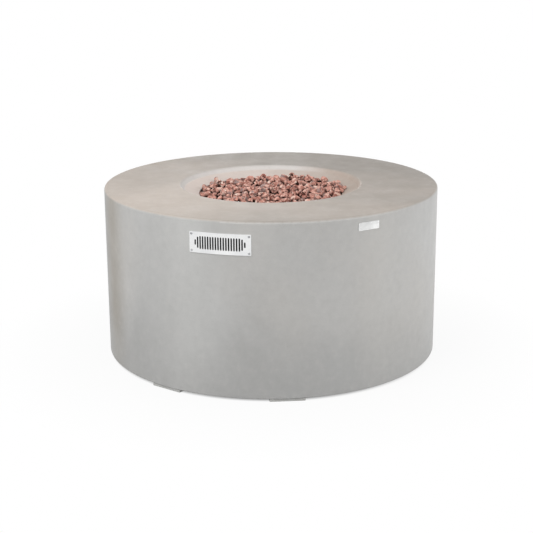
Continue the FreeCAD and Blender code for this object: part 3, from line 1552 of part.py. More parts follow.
def make_upper_rocks():
    chance = random.Random(int(size("rock_seed")))
    pitch, gap = size("rock_pitch"), size("rock_gap")
    shift, shift_angle = size("pile_shift"), math.radians(size("pile_shift_angle"))
    centre_x, centre_y = shift * math.cos(shift_angle), shift * math.sin(shift_angle)
    pile_radius, slope_foot = size("pile_radius"), size("slope_foot_radius")
    top_level = size("overall_height")
    bed = size(f"{PAN_FLOOR} + guard_height + rock_bed_gap")
    slope_level = size("overall_height - slope_depth")
    rise = size("(slope_depth - band_depth) / (band_foot_radius - slope_foot_radius)")

    def in_pile(x, y):
        return math.hypot(x - centre_x, y - centre_y) < pile_radius - pitch * 0.35

    seeds = seeds_on_grid(pitch, chance, in_pile, (bed + top_level) / 2, 0.2)
    solids = []
    for seed in seeds:
        from_centre = math.hypot(seed.x - centre_x, seed.y - centre_y) / pile_radius
        top = (top_level - size("pile_crown_depth") - size("pile_edge_drop") * from_centre ** 3
               - chance.uniform(0, size("pile_roughness")))
        faces = cell(seed, seeds, pitch, bed, top, gap)
        if max(math.hypot(point.x, point.y) for face in faces for point in face) > slope_foot - gap:
            outward = FreeCAD.Vector(seed.x, seed.y, 0).normalize()
            slope = FreeCAD.Vector(outward.x * rise, outward.y * rise, -1).normalize()
            foot = FreeCAD.Vector(outward.x * slope_foot, outward.y * slope_foot, slope_level + gap)
            faces = trimmed(faces, slope, slope.dot(foot))
            faces = trimmed(faces, FreeCAD.Vector(0, 0, -1), -(slope_level + gap))
        faces = broken(faces, seed, chance, 6, (0.6, 0.88))
        solids.append(solid_of(faces))
    add_rocks("lava_rocks", solids)


# Hidden rocks under the upper layer, clear of the burner and its guard

def make_lower_rocks():
    chance = random.Random(int(size("rock_seed")) + 1)
    pitch, gap = size("lower_rock_pitch"), size("rock_gap")
    floor = size(PAN_FLOOR) + gap / 2
    bed = size(f"{PAN_FLOOR} + guard_height + rock_bed_gap") - gap
    ring_inner, ring_outer = (size("ring_radius") - size("ring_tube_radius"),
                              size("ring_radius") + size("ring_tube_radius"))
    pan_reach = size(f"{HOLE_RADIUS} - pan_clearance - pan_taper - pan_sheet")

    def beside_ring(x, y):
        distance = math.hypot(x, y)
        return ring_outer + pitch * 0.4 < distance < pan_reach - pitch * 0.4

    seeds = seeds_on_grid(pitch, chance, beside_ring, (floor + bed) / 2, 0.12)
    solids = []
    for seed in seeds:
        faces = cell(seed, seeds, pitch, floor, bed, gap)
        angle = math.atan2(seed.y, seed.x)
        inward = FreeCAD.Vector(-math.cos(angle), -math.sin(angle), 0)
        faces = trimmed(faces, inward, -(ring_outer + gap))
        for lean in (-9, 0, 9):
            side = angle + math.radians(lean)
            outward = FreeCAD.Vector(math.cos(side), math.sin(side), 0)
            faces = trimmed(faces, outward, pan_reach - gap * 2)
        faces = broken(faces, seed, chance, 1, (0.8, 0.9))
        solids.append(solid_of(faces))
    add_rocks("lava_rocks_lower", solids)


def add_rocks(label, solids):
    rocks = document.addObject("Part::Feature", label)
    rocks.Label = label
    rocks.Shape = Part.makeCompound(solids)
    rocks.Placement = FreeCAD.Placement()
    subparts.append(rocks)


make_table_body()
for place, angle in (("front", "0"), ("rear", "180")):
    make_vent_plate(f"{place}_vent_plate", angle)
    make_vent_screws(f"{place}_vent_screws", angle)
make_nameplate()
for foot_corner, foot_angle in FOOT_ANGLES.items():
    make_foot(foot_corner, foot_angle)
make_foot_screws()
make_burner_pan()
make_pan_screws()
make_burner_ring()
make_burner_nut()
make_burner_elbow()
make_air_mixer()
make_injector()
make_gas_tube()
make_flare_nut("injector_flare_nut", LINE_ANGLE, ("0", f"-{INJECTOR_END}", LINE_LEVEL), "90")
make_flare_nut("outlet_flare_nut", "control_angle",
               ("knob_x", f"-({PANEL_SEAT} - port_reach)", f"control_height + {OUTLET_TOP}"), "0")
make_gas_valve()
make_valve_cap()
make_valve_plug()
make_valve_stem()
make_valve_screws()
make_gas_inlet()
make_control_panel()
make_panel_screws()
make_knob_bezel()
make_control_knob()
make_igniter_housing()
make_igniter_nut()
make_igniter_button()
make_igniter_battery()
make_ignition_guard()
make_spark_electrode()
make_thermocouple()
make_thermocouple_nut()
make_leads()
make_upper_rocks()
make_lower_rocks()
document.recompute()

for item in document.Objects:
    if "Invalid" in item.State or "Error" in item.State:
        raise RuntimeError(f"{item.Label} is {item.State}")
for piece in subparts:
    if piece.Shape.isNull() or not piece.Shape.isValid():
        raise RuntimeError(f"{piece.Label} has no valid shape")

os.makedirs("parts", exist_ok=True)
for piece in subparts:
    piece.Shape.exportStep(f"parts/{piece.Label}.step")
print(f"{len(subparts)} sub-parts written")
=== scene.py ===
import json
import math
import random

import bpy
from mathutils import Matrix, Vector


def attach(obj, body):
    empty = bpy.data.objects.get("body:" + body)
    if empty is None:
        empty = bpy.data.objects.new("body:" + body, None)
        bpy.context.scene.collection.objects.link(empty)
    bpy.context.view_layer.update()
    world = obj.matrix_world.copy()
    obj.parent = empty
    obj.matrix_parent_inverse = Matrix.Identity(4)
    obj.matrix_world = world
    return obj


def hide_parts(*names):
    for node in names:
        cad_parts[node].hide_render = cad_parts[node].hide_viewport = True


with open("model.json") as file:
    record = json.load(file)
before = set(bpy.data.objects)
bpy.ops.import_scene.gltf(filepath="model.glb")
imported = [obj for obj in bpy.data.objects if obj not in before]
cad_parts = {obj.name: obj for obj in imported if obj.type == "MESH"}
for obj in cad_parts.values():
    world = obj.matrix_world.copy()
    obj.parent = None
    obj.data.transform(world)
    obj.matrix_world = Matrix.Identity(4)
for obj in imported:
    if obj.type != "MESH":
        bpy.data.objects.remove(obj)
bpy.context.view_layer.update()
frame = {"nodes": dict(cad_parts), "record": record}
nodes = frame["nodes"]
slotOf = {part["node"]: part["material_slot"] for part in frame["record"]["subparts"]}
print("frame loaded:", len(nodes), "nodes")


def roundPlace(reach, turn, level):  # turn is in degrees round the table from the front vent
    turn = math.radians(turn)
    return Vector((reach * math.sin(turn), -reach * math.cos(turn), level))


# camera, where the photograph was taken from

cameraPlace = {
    "azimuth": 16,  # degrees round the table from the front vent
    "distance": 3.7193,  # metres from the table's axis
    "height": 1.2994,
    "pitch": 15.821,
    "yaw": -0.225,
    "roll": -0.388,
    "lens": 84.78,
    "sensor": 36,
}


def makeCamera(place):
    bpy.ops.object.camera_add()
    camera = bpy.context.object
    camera.data.lens = place["lens"]
    camera.data.sensor_width = place["sensor"]
    azimuth = math.radians(place["azimuth"])
    heading = Matrix.Rotation(azimuth - math.radians(place["yaw"]), 4, "Z")
    tilt = Matrix.Rotation(math.radians(90 - place["pitch"]), 4, "X")
    roll = Matrix.Rotation(math.radians(place["roll"]), 4, "Z")
    spot = roundPlace(place["distance"], place["azimuth"], place["height"])
    camera.matrix_world = Matrix.Translation(spot) @ heading @ tilt @ roll
    bpy.context.scene.camera = camera


makeCamera(cameraPlace)
bpy.context.scene.view_settings.view_transform = "Standard"
print("camera placed")


# node helpers

def linear(red, green, blue):
    def channel(value):
        value = value / 255
        return value / 12.92 if value <= 0.04045 else ((value + 0.055) / 1.055) ** 2.4
    return (channel(red), channel(green), channel(blue), 1)


def newMaterial(name):
    material = bpy.data.materials.new(name)
    material.use_nodes = True
    return material, material.node_tree, material.node_tree.nodes["Principled BSDF"]


def objectPlace(tree, stretch=(1, 1, 1)):
    coordinates = tree.nodes.new("ShaderNodeTexCoord")
    mapping = tree.nodes.new("ShaderNodeMapping")
    mapping.inputs["Scale"].default_value = stretch
    tree.links.new(coordinates.outputs["Object"], mapping.inputs["Vector"])
    return mapping.outputs["Vector"]


def noise(tree, scale, detail=4, roughness=0.55, stretch=(1, 1, 1), warp=0):
    texture = tree.nodes.new("ShaderNodeTexNoise")
    texture.inputs["Scale"].default_value = scale
    texture.inputs["Detail"].default_value = detail
    texture.inputs["Roughness"].default_value = roughness
    texture.inputs["Distortion"].default_value = warp
    tree.links.new(objectPlace(tree, stretch), texture.inputs["Vector"])
    return texture.outputs["Fac"]


def cells(tree, scale):
    texture = tree.nodes.new("ShaderNodeTexVoronoi")
    texture.inputs["Scale"].default_value = scale
    tree.links.new(objectPlace(tree), texture.inputs["Vector"])
    return texture.outputs["Distance"]


def spread(tree, source, low, high, newLow=0.0, newHigh=1.0, soft=False):
    mapRange = tree.nodes.new("ShaderNodeMapRange")
    mapRange.interpolation_type = "SMOOTHSTEP" if soft else "LINEAR"
    limits = {"From Min": low, "From Max": high, "To Min": newLow, "To Max": newHigh}
    for name, value in limits.items():
        mapRange.inputs[name].default_value = value
    tree.links.new(source, mapRange.inputs["Value"])
    return mapRange.outputs["Result"]


def combine(tree, operation, first, second):
    node = tree.nodes.new("ShaderNodeMath")
    node.operation = operation
    for socket, value in zip(node.inputs, (first, second)):
        if isinstance(value, (int, float)):
            socket.default_value = value
        else:
            tree.links.new(value, socket)
    return node.outputs[0]


def blendColour(tree, factor, first, second):
    node = tree.nodes.new("ShaderNodeMix")
    node.data_type = "RGBA"
    for name, kind, value in (("Factor", "VALUE", factor), ("A", "RGBA", first),
                              ("B", "RGBA", second)):
        socket = next(item for item in node.inputs if item.name == name and item.type == kind)
        if isinstance(value, tuple):
            socket.default_value = value
        else:
            tree.links.new(value, socket)
    return next(item for item in node.outputs if item.type == "RGBA")


def ramp(tree, source, stops):
    node = tree.nodes.new("ShaderNodeValToRGB")
    steps = node.color_ramp.elements
    while len(steps) < len(stops):
        steps.new(0.5)
    for step, (place, colour) in zip(steps, stops):
        step.position = place
        step.color = colour
    tree.links.new(source, node.inputs["Fac"])
    return node.outputs["Color"]


def bumps(tree, shader, layers):
    normal = None
    for height, strength, distance in layers:
        node = tree.nodes.new("ShaderNodeBump")
        node.inputs["Strength"].default_value = strength
        node.inputs["Distance"].default_value = distance
        tree.links.new(height, node.inputs["Height"])
        if normal:
            tree.links.new(normal, node.inputs["Normal"])
        normal = node.outputs["Normal"]
    tree.links.new(normal, shader.inputs["Normal"])


def tablePlace(tree):  # X, Y, height and reach from the table's axis, in metres
    split = tree.nodes.new("ShaderNodeSeparateXYZ")
    tree.links.new(objectPlace(tree), split.inputs["Vector"])
    flat = tree.nodes.new("ShaderNodeVectorMath")
    flat.operation = "MULTIPLY"
    flat.inputs[1].default_value = (1, 1, 0)
    tree.links.new(objectPlace(tree), flat.inputs[0])
    reach = tree.nodes.new("ShaderNodeVectorMath")
    reach.operation = "LENGTH"
    tree.links.new(flat.outputs["Vector"], reach.inputs[0])
    return (*split.outputs, reach.outputs["Value"])


# cast concrete: warm on the level faces, greyer down the wall, with soft cloudy bands, sand
# and a few pinholes. Light and shade are painted in too: shade towards the ground, across the
# top, in the bowl and on the faces inside, highlight and shade bands round the wall, and a
# highlight on the rim of the bowl. A range is from, to, and what these become

concreteLook = {
    "wall": linear(195, 195, 194),
    # this tone serves the random clouds and the painted shade towards the ground
    "wallDeep": linear(175, 175, 174),
    "wallWarm": linear(196, 192, 187),
    "top": linear(212, 199, 188),
    "topCool": linear(161, 154, 147),
    "bowl": linear(217, 204, 196),
    "bowlCool": linear(180, 165, 153),
    "lip": linear(216, 212, 209),
    "inside": linear(34, 33, 32),  # painted shade: the faces inside the shell are painted dark
    "pore": linear(128, 125, 120),
    "lime": linear(224, 221, 216),
    "roughness": (0.42, 0.62),
    "specular": 0.28,
    "clouds": {"scale": 3.2, "detail": 3, "roughness": 0.5, "stretch": (1, 1, 0.5), "warp": 0.6},
    "bands": {"scale": 5.5, "detail": 2, "roughness": 0.5, "stretch": (1, 1, 0.1)},
    "warmth": {"scale": 2.3, "detail": 2, "roughness": 0.5, "stretch": (1, 1, 0.7)},
    "cloudRange": (0.36, 0.64),
    "bandStrength": 0.4,
    "warmRange": (0.5, 0.7, 0, 0.5),
    "deepHeight": (0.24, 0, 0, 0.75),  # painted shade: the wall darkens towards the ground
    "pourHeight": (0, 0.16, 0.3, 1),  # the painted light bands fade towards it
    "pourBands": [  # painted highlights and painted shade round the wall: degrees round, half width, tone, strength
        (-11, 17, linear(218, 218, 216), 0.4),
        (-51, 13, linear(164, 157, 147), 0.75),
        (52, 12, linear(206, 204, 200), 0.25),
        (138, 22, linear(212, 211, 208), 0.4),
        (-118, 17, linear(172, 166, 158), 0.4),
    ],
    "topClouds": {"scale": 2.2, "detail": 3, "roughness": 0.5, "warp": 0.4},
    "topCloudRange": (0.36, 0.64, 0.55, 0.85),
    "cure": {"x": 0.34, "y": 0.8, "ySquared": 1.8},  # painted shade: the top turns greyer towards the right and the back, and towards its front and back edges
    "bowlSide": (-0.1, 0.25),  # painted shade: X at which the bowl turns from lit to shaded
    "lipReach": (0.257, 0.264),  # painted highlight on the left half of the bowl's rim
    "lipSide": (0.12, 0),
    "topHeight": (0.5035, 0.509),
    "bowlReach": (0.277, 0.268),
    "ceiling": (0.28, 0.29, 0.4615, 0.496),  # what lies under this and within the wall is inside
    "insideReach": (0.4965, 0.4955),
    "insideHeight": (0.009, 0.012),
    "mottle": {"scale": 48, "detail": 5, "roughness": 0.6},
    "mottleDark": (0.32, 0.5, 0.06, 0),
    "mottlePale": (0.52, 0.7, 0, 0.1),
    "sand": {"scale": 620, "detail": 6, "roughness": 0.75},
    "sandDark": (0.3, 0.6, 0.2, 0),
    "grit": {"cells": 300, "size": (0.1, 0.16, 1, 0), "strength": 0.35,
             "where": {"scale": 150, "detail": 2}, "whereRange": (0.55, 0.6)},
    "pinholes": {"cells": 95, "size": (0.045, 0.085, 1, 0), "strength": 0.65,
                 "where": {"scale": 16, "detail": 3}, "whereRange": (0.5, 0.6)},
    "shine": {"scale": 14, "detail": 5},
    "shineRange": (0.3, 0.7),
    "waves": {"scale": 6, "detail": 3},
    "waveBump": (0.2, 0.004),  # strength and depth in metres
    "mottleBump": (0.12, 0.0012),
    "sandBump": (0.22, 0.0006),
    "pinholeBump": (-0.7, 0.0014),
}


def wallTone(tree, look, x, y, z):
    clouds = spread(tree, noise(tree, **look["clouds"]), *look["cloudRange"])
    bands = spread(tree, noise(tree, **look["bands"]), *look["cloudRange"])
    warmth = spread(tree, noise(tree, **look["warmth"]), *look["warmRange"])
    wall = blendColour(tree, clouds, look["wallDeep"], look["wall"])
    wall = blendColour(tree, combine(tree, "MULTIPLY", bands, look["bandStrength"]), wall,
                       look["wall"])
    wall = blendColour(tree, warmth, wall, look["wallWarm"])
    # painted shade: darker towards the ground
    wall = blendColour(tree, spread(tree, z, *look["deepHeight"]), wall, look["wallDeep"])
    # painted highlights and painted shade in upright bands round the wall
    around = combine(tree, "ARCTAN2", x, combine(tree, "MULTIPLY", y, -1))
    fade = spread(tree, z, *look["pourHeight"])
    for turn, halfWidth, tone, strength in look["pourBands"]:
        apart = combine(tree, "SUBTRACT", around, math.radians(turn))
        apart = combine(tree, "ABSOLUTE", apart, 0)
        band = spread(tree, apart, 0, math.radians(halfWidth), strength, 0, soft=True)
        wall = blendColour(tree, combine(tree, "MULTIPLY", band, fade), wall, tone)
    return wall


def topTone(tree, look, x, y):
    # painted shade across the top, with random clouds in it
    clouds = spread(tree, noise(tree, **look["topClouds"]), *look["topCloudRange"])
    across = combine(tree, "ADD", combine(tree, "MULTIPLY", x, look["cure"]["x"]),
                     combine(tree, "MULTIPLY", y, look["cure"]["y"]))
    edges = combine(tree, "MULTIPLY", combine(tree, "MULTIPLY", y, y), look["cure"]["ySquared"])
    topShade = combine(tree, "ADD", combine(tree, "ADD", across, edges), clouds)
    return blendColour(tree, topShade, look["top"], look["topCool"])


def bowlTone(tree, look, x, reach):
    # painted shade: the bowl darker towards the right
    bowl = blendColour(tree, spread(tree, x, *look["bowlSide"]), look["bowl"], look["bowlCool"])
    # painted highlight on the rim of the bowl
    lipGlint = combine(tree, "MULTIPLY", spread(tree, reach, *look["lipReach"]),
                     spread(tree, x, *look["lipSide"]))
    return blendColour(tree, lipGlint, bowl, look["lip"])


def insideShadeMask(tree, look, z, reach):
    under = combine(tree, "LESS_THAN", z, spread(tree, reach, *look["ceiling"]))
    hidden = combine(tree, "MULTIPLY", spread(tree, reach, *look["insideReach"]), under)
    return combine(tree, "MULTIPLY", hidden, spread(tree, z, *look["insideHeight"]))


def scattered(tree, spots):  # small round spots, in some places only
    where = spread(tree, noise(tree, **spots["where"]), *spots["whereRange"])
    return combine(tree, "MULTIPLY", spread(tree, cells(tree, spots["cells"]), *spots["size"]),
                   where)


def makeConcrete(look):
    material, tree, shader = newMaterial("castConcrete")
    x, y, z, reach = tablePlace(tree)
    colour = blendColour(tree, spread(tree, z, *look["topHeight"]),
                         wallTone(tree, look, x, y, z), topTone(tree, look, x, y))
    colour = blendColour(tree, spread(tree, reach, *look["bowlReach"]), colour,
                         bowlTone(tree, look, x, reach))
    # painted shade on the faces inside the shell
    colour = blendColour(tree, insideShadeMask(tree, look, z, reach), colour, look["inside"])
    mottle = noise(tree, **look["mottle"])
    colour = blendColour(tree, spread(tree, mottle, *look["mottleDark"]), colour, look["pore"])
    colour = blendColour(tree, spread(tree, mottle, *look["mottlePale"]), colour, look["lime"])
    sand = noise(tree, **look["sand"])
    colour = blendColour(tree, spread(tree, sand, *look["sandDark"]), colour, look["pore"])
    grit, pinholes = scattered(tree, look["grit"]), scattered(tree, look["pinholes"])
    for spots, strength in ((grit, look["grit"]["strength"]),
                            (pinholes, look["pinholes"]["strength"])):
        colour = blendColour(tree, combine(tree, "MULTIPLY", spots, strength), colour,
                             look["pore"])
    tree.links.new(colour, shader.inputs["Base Color"])
    shine = spread(tree, noise(tree, **look["shine"]), *look["shineRange"], *look["roughness"])
    tree.links.new(shine, shader.inputs["Roughness"])
    shader.inputs["Specular IOR Level"].default_value = look["specular"]
    waves = noise(tree, **look["waves"])
    bumps(tree, shader, [(waves, *look["waveBump"]), (mottle, *look["mottleBump"]),
                         (sand, *look["sandBump"]), (pinholes, *look["pinholeBump"])])
    return material


# metals: a grain that follows the way each was worked, patches of tone, and roughness
# that varies with the grain

metalLooks = {
    "brushedStainless": {"colour": (248, 248, 247), "patch": (226, 227, 228), "grain": 90,
                         "stretch": (0.35, 0.35, 26), "roughness": (0.22, 0.4), "bump": 0.12},
    # on the nameplate the dark patch tone is a painted reflection
    "plateSteel": {"colour": (222, 222, 221), "patch": (176, 177, 177), "grain": 90,
                   "stretch": (0.35, 0.35, 26), "roughness": (0.25, 0.42), "bump": 0.1},
    "panSteel": {"colour": (168, 164, 158), "patch": (126, 112, 98), "grain": 40,
                 "stretch": (1, 1, 1), "roughness": (0.35, 0.6), "bump": 0.15},
    "burnerSteel": {"colour": (150, 142, 134), "patch": (92, 78, 84), "grain": 30,
                    "stretch": (1, 1, 1), "roughness": (0.35, 0.65), "bump": 0.15},
    "screwSteel": {"colour": (196, 197, 198), "patch": (160, 161, 163), "grain": 300,
                   "stretch": (1, 1, 1), "roughness": (0.25, 0.45), "bump": 0.08},
    "brass": {"colour": (205, 170, 98), "patch": (172, 134, 72), "grain": 160,
              "stretch": (1, 1, 6), "roughness": (0.25, 0.45), "bump": 0.08},
    "elbowIron": {"colour": (96, 95, 96), "patch": (70, 66, 64), "grain": 220,
                  "stretch": (1, 1, 1), "roughness": (0.5, 0.75), "bump": 0.5},
    "zincSteel": {"colour": (188, 190, 192), "patch": (168, 168, 158), "grain": 60,
                  "stretch": (1, 1, 1), "roughness": (0.3, 0.5), "bump": 0.12},
    "tubeAluminium": {"colour": (204, 206, 208), "patch": (178, 180, 184), "grain": 120,
                      "stretch": (1, 1, 1), "roughness": (0.28, 0.5), "bump": 0.1},
    "valveAluminium": {"colour": (176, 178, 180), "patch": (150, 151, 154), "grain": 180,
                       "stretch": (1, 1, 1), "roughness": (0.4, 0.62), "bump": 0.3},
    "bezelChrome": {"colour": (222, 223, 225), "patch": (208, 210, 214), "grain": 60,
                    "stretch": (1, 1, 1), "roughness": (0.06, 0.14), "bump": 0.02},
    "probeSteel": {"colour": (176, 168, 158), "patch": (110, 92, 98), "grain": 120,
                   "stretch": (1, 1, 1), "roughness": (0.3, 0.5), "bump": 0.1},
    "leadCopper": {"colour": (206, 140, 104), "patch": (150, 92, 66), "grain": 150,
                   "stretch": (1, 1, 1), "roughness": (0.3, 0.5), "bump": 0.1},
}

metalGrain = {
    "detail": 4,
    "roughness": 0.6,
    "range": (0.3, 0.7),
    "tint": (0.16, 0),  # how much of the patch's tone the grain takes
    "patchSize": 8,  # times the grain's
    "patchDetail": 3,
    "patchRange": (0.35, 0.68),
    "depth": 0.0006,  # metres
}


def makeMetal(name, look, shared):
    material, tree, shader = newMaterial(name)
    metal, patch = linear(*look["colour"]), linear(*look["patch"])
    grain = noise(tree, look["grain"], shared["detail"], shared["roughness"], look["stretch"])
    patches = noise(tree, look["grain"] / shared["patchSize"], shared["patchDetail"])
    colour = blendColour(tree, spread(tree, patches, *shared["patchRange"]), patch, metal)
    tint = spread(tree, grain, *shared["range"], *shared["tint"])
    tree.links.new(blendColour(tree, tint, colour, patch), shader.inputs["Base Color"])
    shader.inputs["Metallic"].default_value = 1
    shine = spread(tree, grain, *shared["range"], *look["roughness"])
    tree.links.new(shine, shader.inputs["Roughness"])
    bumps(tree, shader, [(grain, look["bump"], shared["depth"])])
    return material


# plastics, rubber, ceramic and silicone: a fine moulded grain, and slight wear in tone

plasticLooks = {
    "footRubber": {"colour": (184, 184, 182), "patch": (168, 167, 164), "grain": 500,
                   "roughness": (0.6, 0.85), "bump": 0.3},
    "knobBlack": {"colour": (30, 30, 31), "patch": (42, 42, 43), "grain": 900,
                  "roughness": (0.35, 0.5), "bump": 0.2},
    "igniterPlastic": {"colour": (34, 34, 35), "patch": (48, 48, 48), "grain": 700,
                       "roughness": (0.35, 0.5), "bump": 0.15},
    "buttonBlack": {"colour": (24, 24, 25), "patch": (34, 34, 36), "grain": 300,
                    "roughness": (0.12, 0.25), "bump": 0.04},
    "batteryShell": {"colour": (66, 70, 78), "patch": (86, 90, 96), "grain": 90,
                     "roughness": (0.25, 0.4), "bump": 0.05},
    "ceramicWhite": {"colour": (238, 234, 224), "patch": (214, 206, 190), "grain": 120,
                     "roughness": (0.15, 0.35), "bump": 0.08},
    "leadSilicone": {"colour": (150, 44, 38), "patch": (118, 34, 32), "grain": 260,
                     "roughness": (0.4, 0.6), "bump": 0.12},
    "pointerWhite": {"colour": (232, 231, 227), "patch": (208, 206, 200), "grain": 400,
                     "roughness": (0.4, 0.55), "bump": 0.06},
}

plasticGrain = {
    "detail": 3,
    "roughness": 0.6,
    "wearSize": 12,  # times the grain's
    "wearDetail": 4,
    "wearRange": (0.45, 0.75),
    "depth": 0.0004,  # metres
}


def makePlastic(name, look, shared):
    material, tree, shader = newMaterial(name)
    grain = noise(tree, look["grain"], shared["detail"], shared["roughness"])
    wear = noise(tree, look["grain"] / shared["wearSize"], shared["wearDetail"])
    wear = spread(tree, wear, *shared["wearRange"])
    colour = blendColour(tree, wear, linear(*look["colour"]), linear(*look["patch"]))
    tree.links.new(colour, shader.inputs["Base Color"])
    shine = spread(tree, wear, 0, 1, *look["roughness"])
    tree.links.new(shine, shader.inputs["Roughness"])
    bumps(tree, shader, [(grain, look["bump"], shared["depth"])])
    return material


# lava rock: each stone has its own tone, with open pores painted dark as shade in the holes,
# paler dusty high spots, painted shade in the hollows of its grain, and painted shade where it
# lies low between its neighbours

lavaLook = {
    "tones": [
        (0.0, (58, 30, 23)), (0.05, (80, 46, 36)), (0.07, (130, 106, 102)),
        (0.14, (170, 144, 141)), (0.18, (150, 94, 82)), (0.38, (198, 138, 124)),
        (0.6, (220, 162, 147)), (0.84, (240, 187, 171)), (1.0, (251, 226, 212)),
    ],
    # the pores are painted dark as shade in the holes
    "pore": (70, 34, 27),
    "dust": (234, 212, 200),
    # painted shade in the hollows of the rough grain
    "deep": (84, 44, 36),
    # painted shade where a stone lies low between its neighbours
    "buried": (40, 13, 7),
    "buriedDepth": (0.001, 0.0085),  # metres under the stones around
    "roughness": 0.92,
    "specular": 0.2,
    "rough": {"scale": 130, "detail": 5, "roughness": 0.65},
    "dustRange": (0.5, 0.72, 0, 0.6),
    "deepRange": (0.46, 0.3, 0, 0.7),
    "widePores": {"cells": 330, "size": (0.16, 0.34, 1, 0),
                  "where": {"scale": 260, "detail": 3}, "whereRange": (0.45, 0.58)},
    "finePores": {"cells": 820, "size": (0.1, 0.32, 0.7, 0)},
    "poreStrength": 0.8,
    "roughBump": (0.6, 0.004),  # strength and depth in metres
    "poreBump": (-0.9, 0.0016),
}


def makeLavaRock(look):
    material, tree, shader = newMaterial("lavaStone")
    pore, dust, deep, gapShadeColour = (linear(*look[name]) for name in ("pore", "dust", "deep", "buried"))
    geometry = tree.nodes.new("ShaderNodeNewGeometry")
    colour = ramp(tree, geometry.outputs["Random Per Island"],
                  [(place, linear(*tone)) for place, tone in look["tones"]])
    rough = noise(tree, **look["rough"])
    colour = blendColour(tree, spread(tree, rough, *look["dustRange"]), colour, dust)
    # painted shade in the hollows of the rough grain
    colour = blendColour(tree, spread(tree, rough, *look["deepRange"]), colour, deep)
    # painted shade in the pores
    fine = spread(tree, cells(tree, look["finePores"]["cells"]), *look["finePores"]["size"])
    pores = combine(tree, "MAXIMUM", scattered(tree, look["widePores"]), fine)
    colour = blendColour(tree, combine(tree, "MULTIPLY", pores, look["poreStrength"]), colour,
                         pore)
    # painted shade in the gaps between stones
    buried = tree.nodes.new("ShaderNodeAttribute")
    buried.attribute_name = "buried"
    buried = spread(tree, buried.outputs["Fac"], *look["buriedDepth"])
    tree.links.new(blendColour(tree, buried, colour, gapShadeColour), shader.inputs["Base Color"])
    shader.inputs["Roughness"].default_value = look["roughness"]
    shader.inputs["Specular IOR Level"].default_value = look["specular"]
    bumps(tree, shader, [(rough, *look["roughBump"]), (pores, *look["poreBump"])])
    return material


materials = {"castConcrete": makeConcrete(concreteLook), "lavaRock": makeLavaRock(lavaLook)}
for materialName, materialLook in metalLooks.items():
    materials[materialName] = makeMetal(materialName, materialLook, metalGrain)
for materialName, materialLook in plasticLooks.items():
    materials[materialName] = makePlastic(materialName, materialLook, plasticGrain)


def camelName(words):
    first, *others = words.split("_")
    return first + "".join(word.capitalize() for word in others)


def dress(piece, slot):
    piece.data.materials.clear()
    piece.data.materials.append(materials[camelName(slot)])


for nodeName, node in nodes.items():
    dress(node, slotOf[nodeName])
print("materials made:", len(materials))


# modelling helpers

def deselectAll():
    if bpy.context.object and bpy.context.object.mode != "OBJECT":
        bpy.ops.object.mode_set(mode="OBJECT")
    bpy.ops.object.select_all(action="DESELECT")


def selectOnly(pieces):
    deselectAll()
    for piece in pieces:
        piece.select_set(True)
    bpy.context.view_layer.objects.active = pieces[0]


def joinPieces(pieces, name):
    selectOnly(pieces)
    bpy.ops.object.join()
    joined = bpy.context.object
    joined.name = name
    return joined


def applyModifier(piece, kind, **settings):
    modifier = piece.modifiers.new(kind.lower(), kind)
    for setting, value in settings.items():
        setattr(modifier, setting, value)
    bpy.context.view_layer.objects.active = piece
    bpy.ops.object.modifier_apply(modifier=modifier.name)


def copyPiece(pattern, name):
    piece = bpy.data.objects.new(name, pattern.data.copy())
    bpy.context.collection.objects.link(piece)
    return piece


# lava rock: a few broken stones, copied, tumbled into the bowl and left where they come to rest

lavaStone = {
    "shapes": 14,
    "seed": 5,
    "halfLength": (0.008, 0.0138),  # metres
    "breaks": 8,
    "breakDepth": (0.38, 0.8),  # of the half length
    "stretch": 1.1,  # along the stone
    "flatness": (0.66, 1.0),  # across it, both ways
    "sphereCuts": 3,
    "voxel": 0.12,  # of the half length
    "faces": 80,
    "roughness": 0.1,
    "smoothAngle": 16,
}

lavaPile = {
    "middle": (0.006, 0.002),  # the pile sits a little off the axis
    "reach": (0.216, 0.212, 0.192),  # of each layer that is tipped in
    "pitch": 0.0228,
    "rowShift": 0.5,  # of the pitch, every second row
    "layerShift": (0.33, 0.4),  # of the pitch, each layer
    "scatter": 0.2,  # of the pitch, each way
    "rowPitch": 0.9,  # of the pitch
    "seed": 12,
    "bed": 0.4672,  # just over the pan's screws
    "drop": 0.028,  # from which the first layer falls, over the bed
    "layerDrop": 0.034,  # and each later one further up
    "quickDrop": 0.011,  # where the stones stay when the fall is skipped
    "top": 0.5045,  # what ends up over this is taken off
    "sunk": 0.002,  # and what ends up so far under the bed
    "upscale": 10,  # small stones tumble badly, so they fall ten times as large
    "frames": 50,
    "substeps": 10,
    "friction": 0.85,
    "bounce": 0.02,
    "slideDamping": 0.2,
    "turnDamping": 0.4,
    "stoneMargin": 0.004,
    "mouldMargin": 0.002,
    "mouldSteps": 72,
    "mouldWeld": 0.0001,
    "gapWidth": 0.006,
    "bowl": [(0.0, 0.4672), (0.2166, 0.4672), (0.2168, 0.481), (0.262, 0.4972),
             (0.2725, 0.507), (0.275, 0.56)],  # reach and level of the bowl's section
}


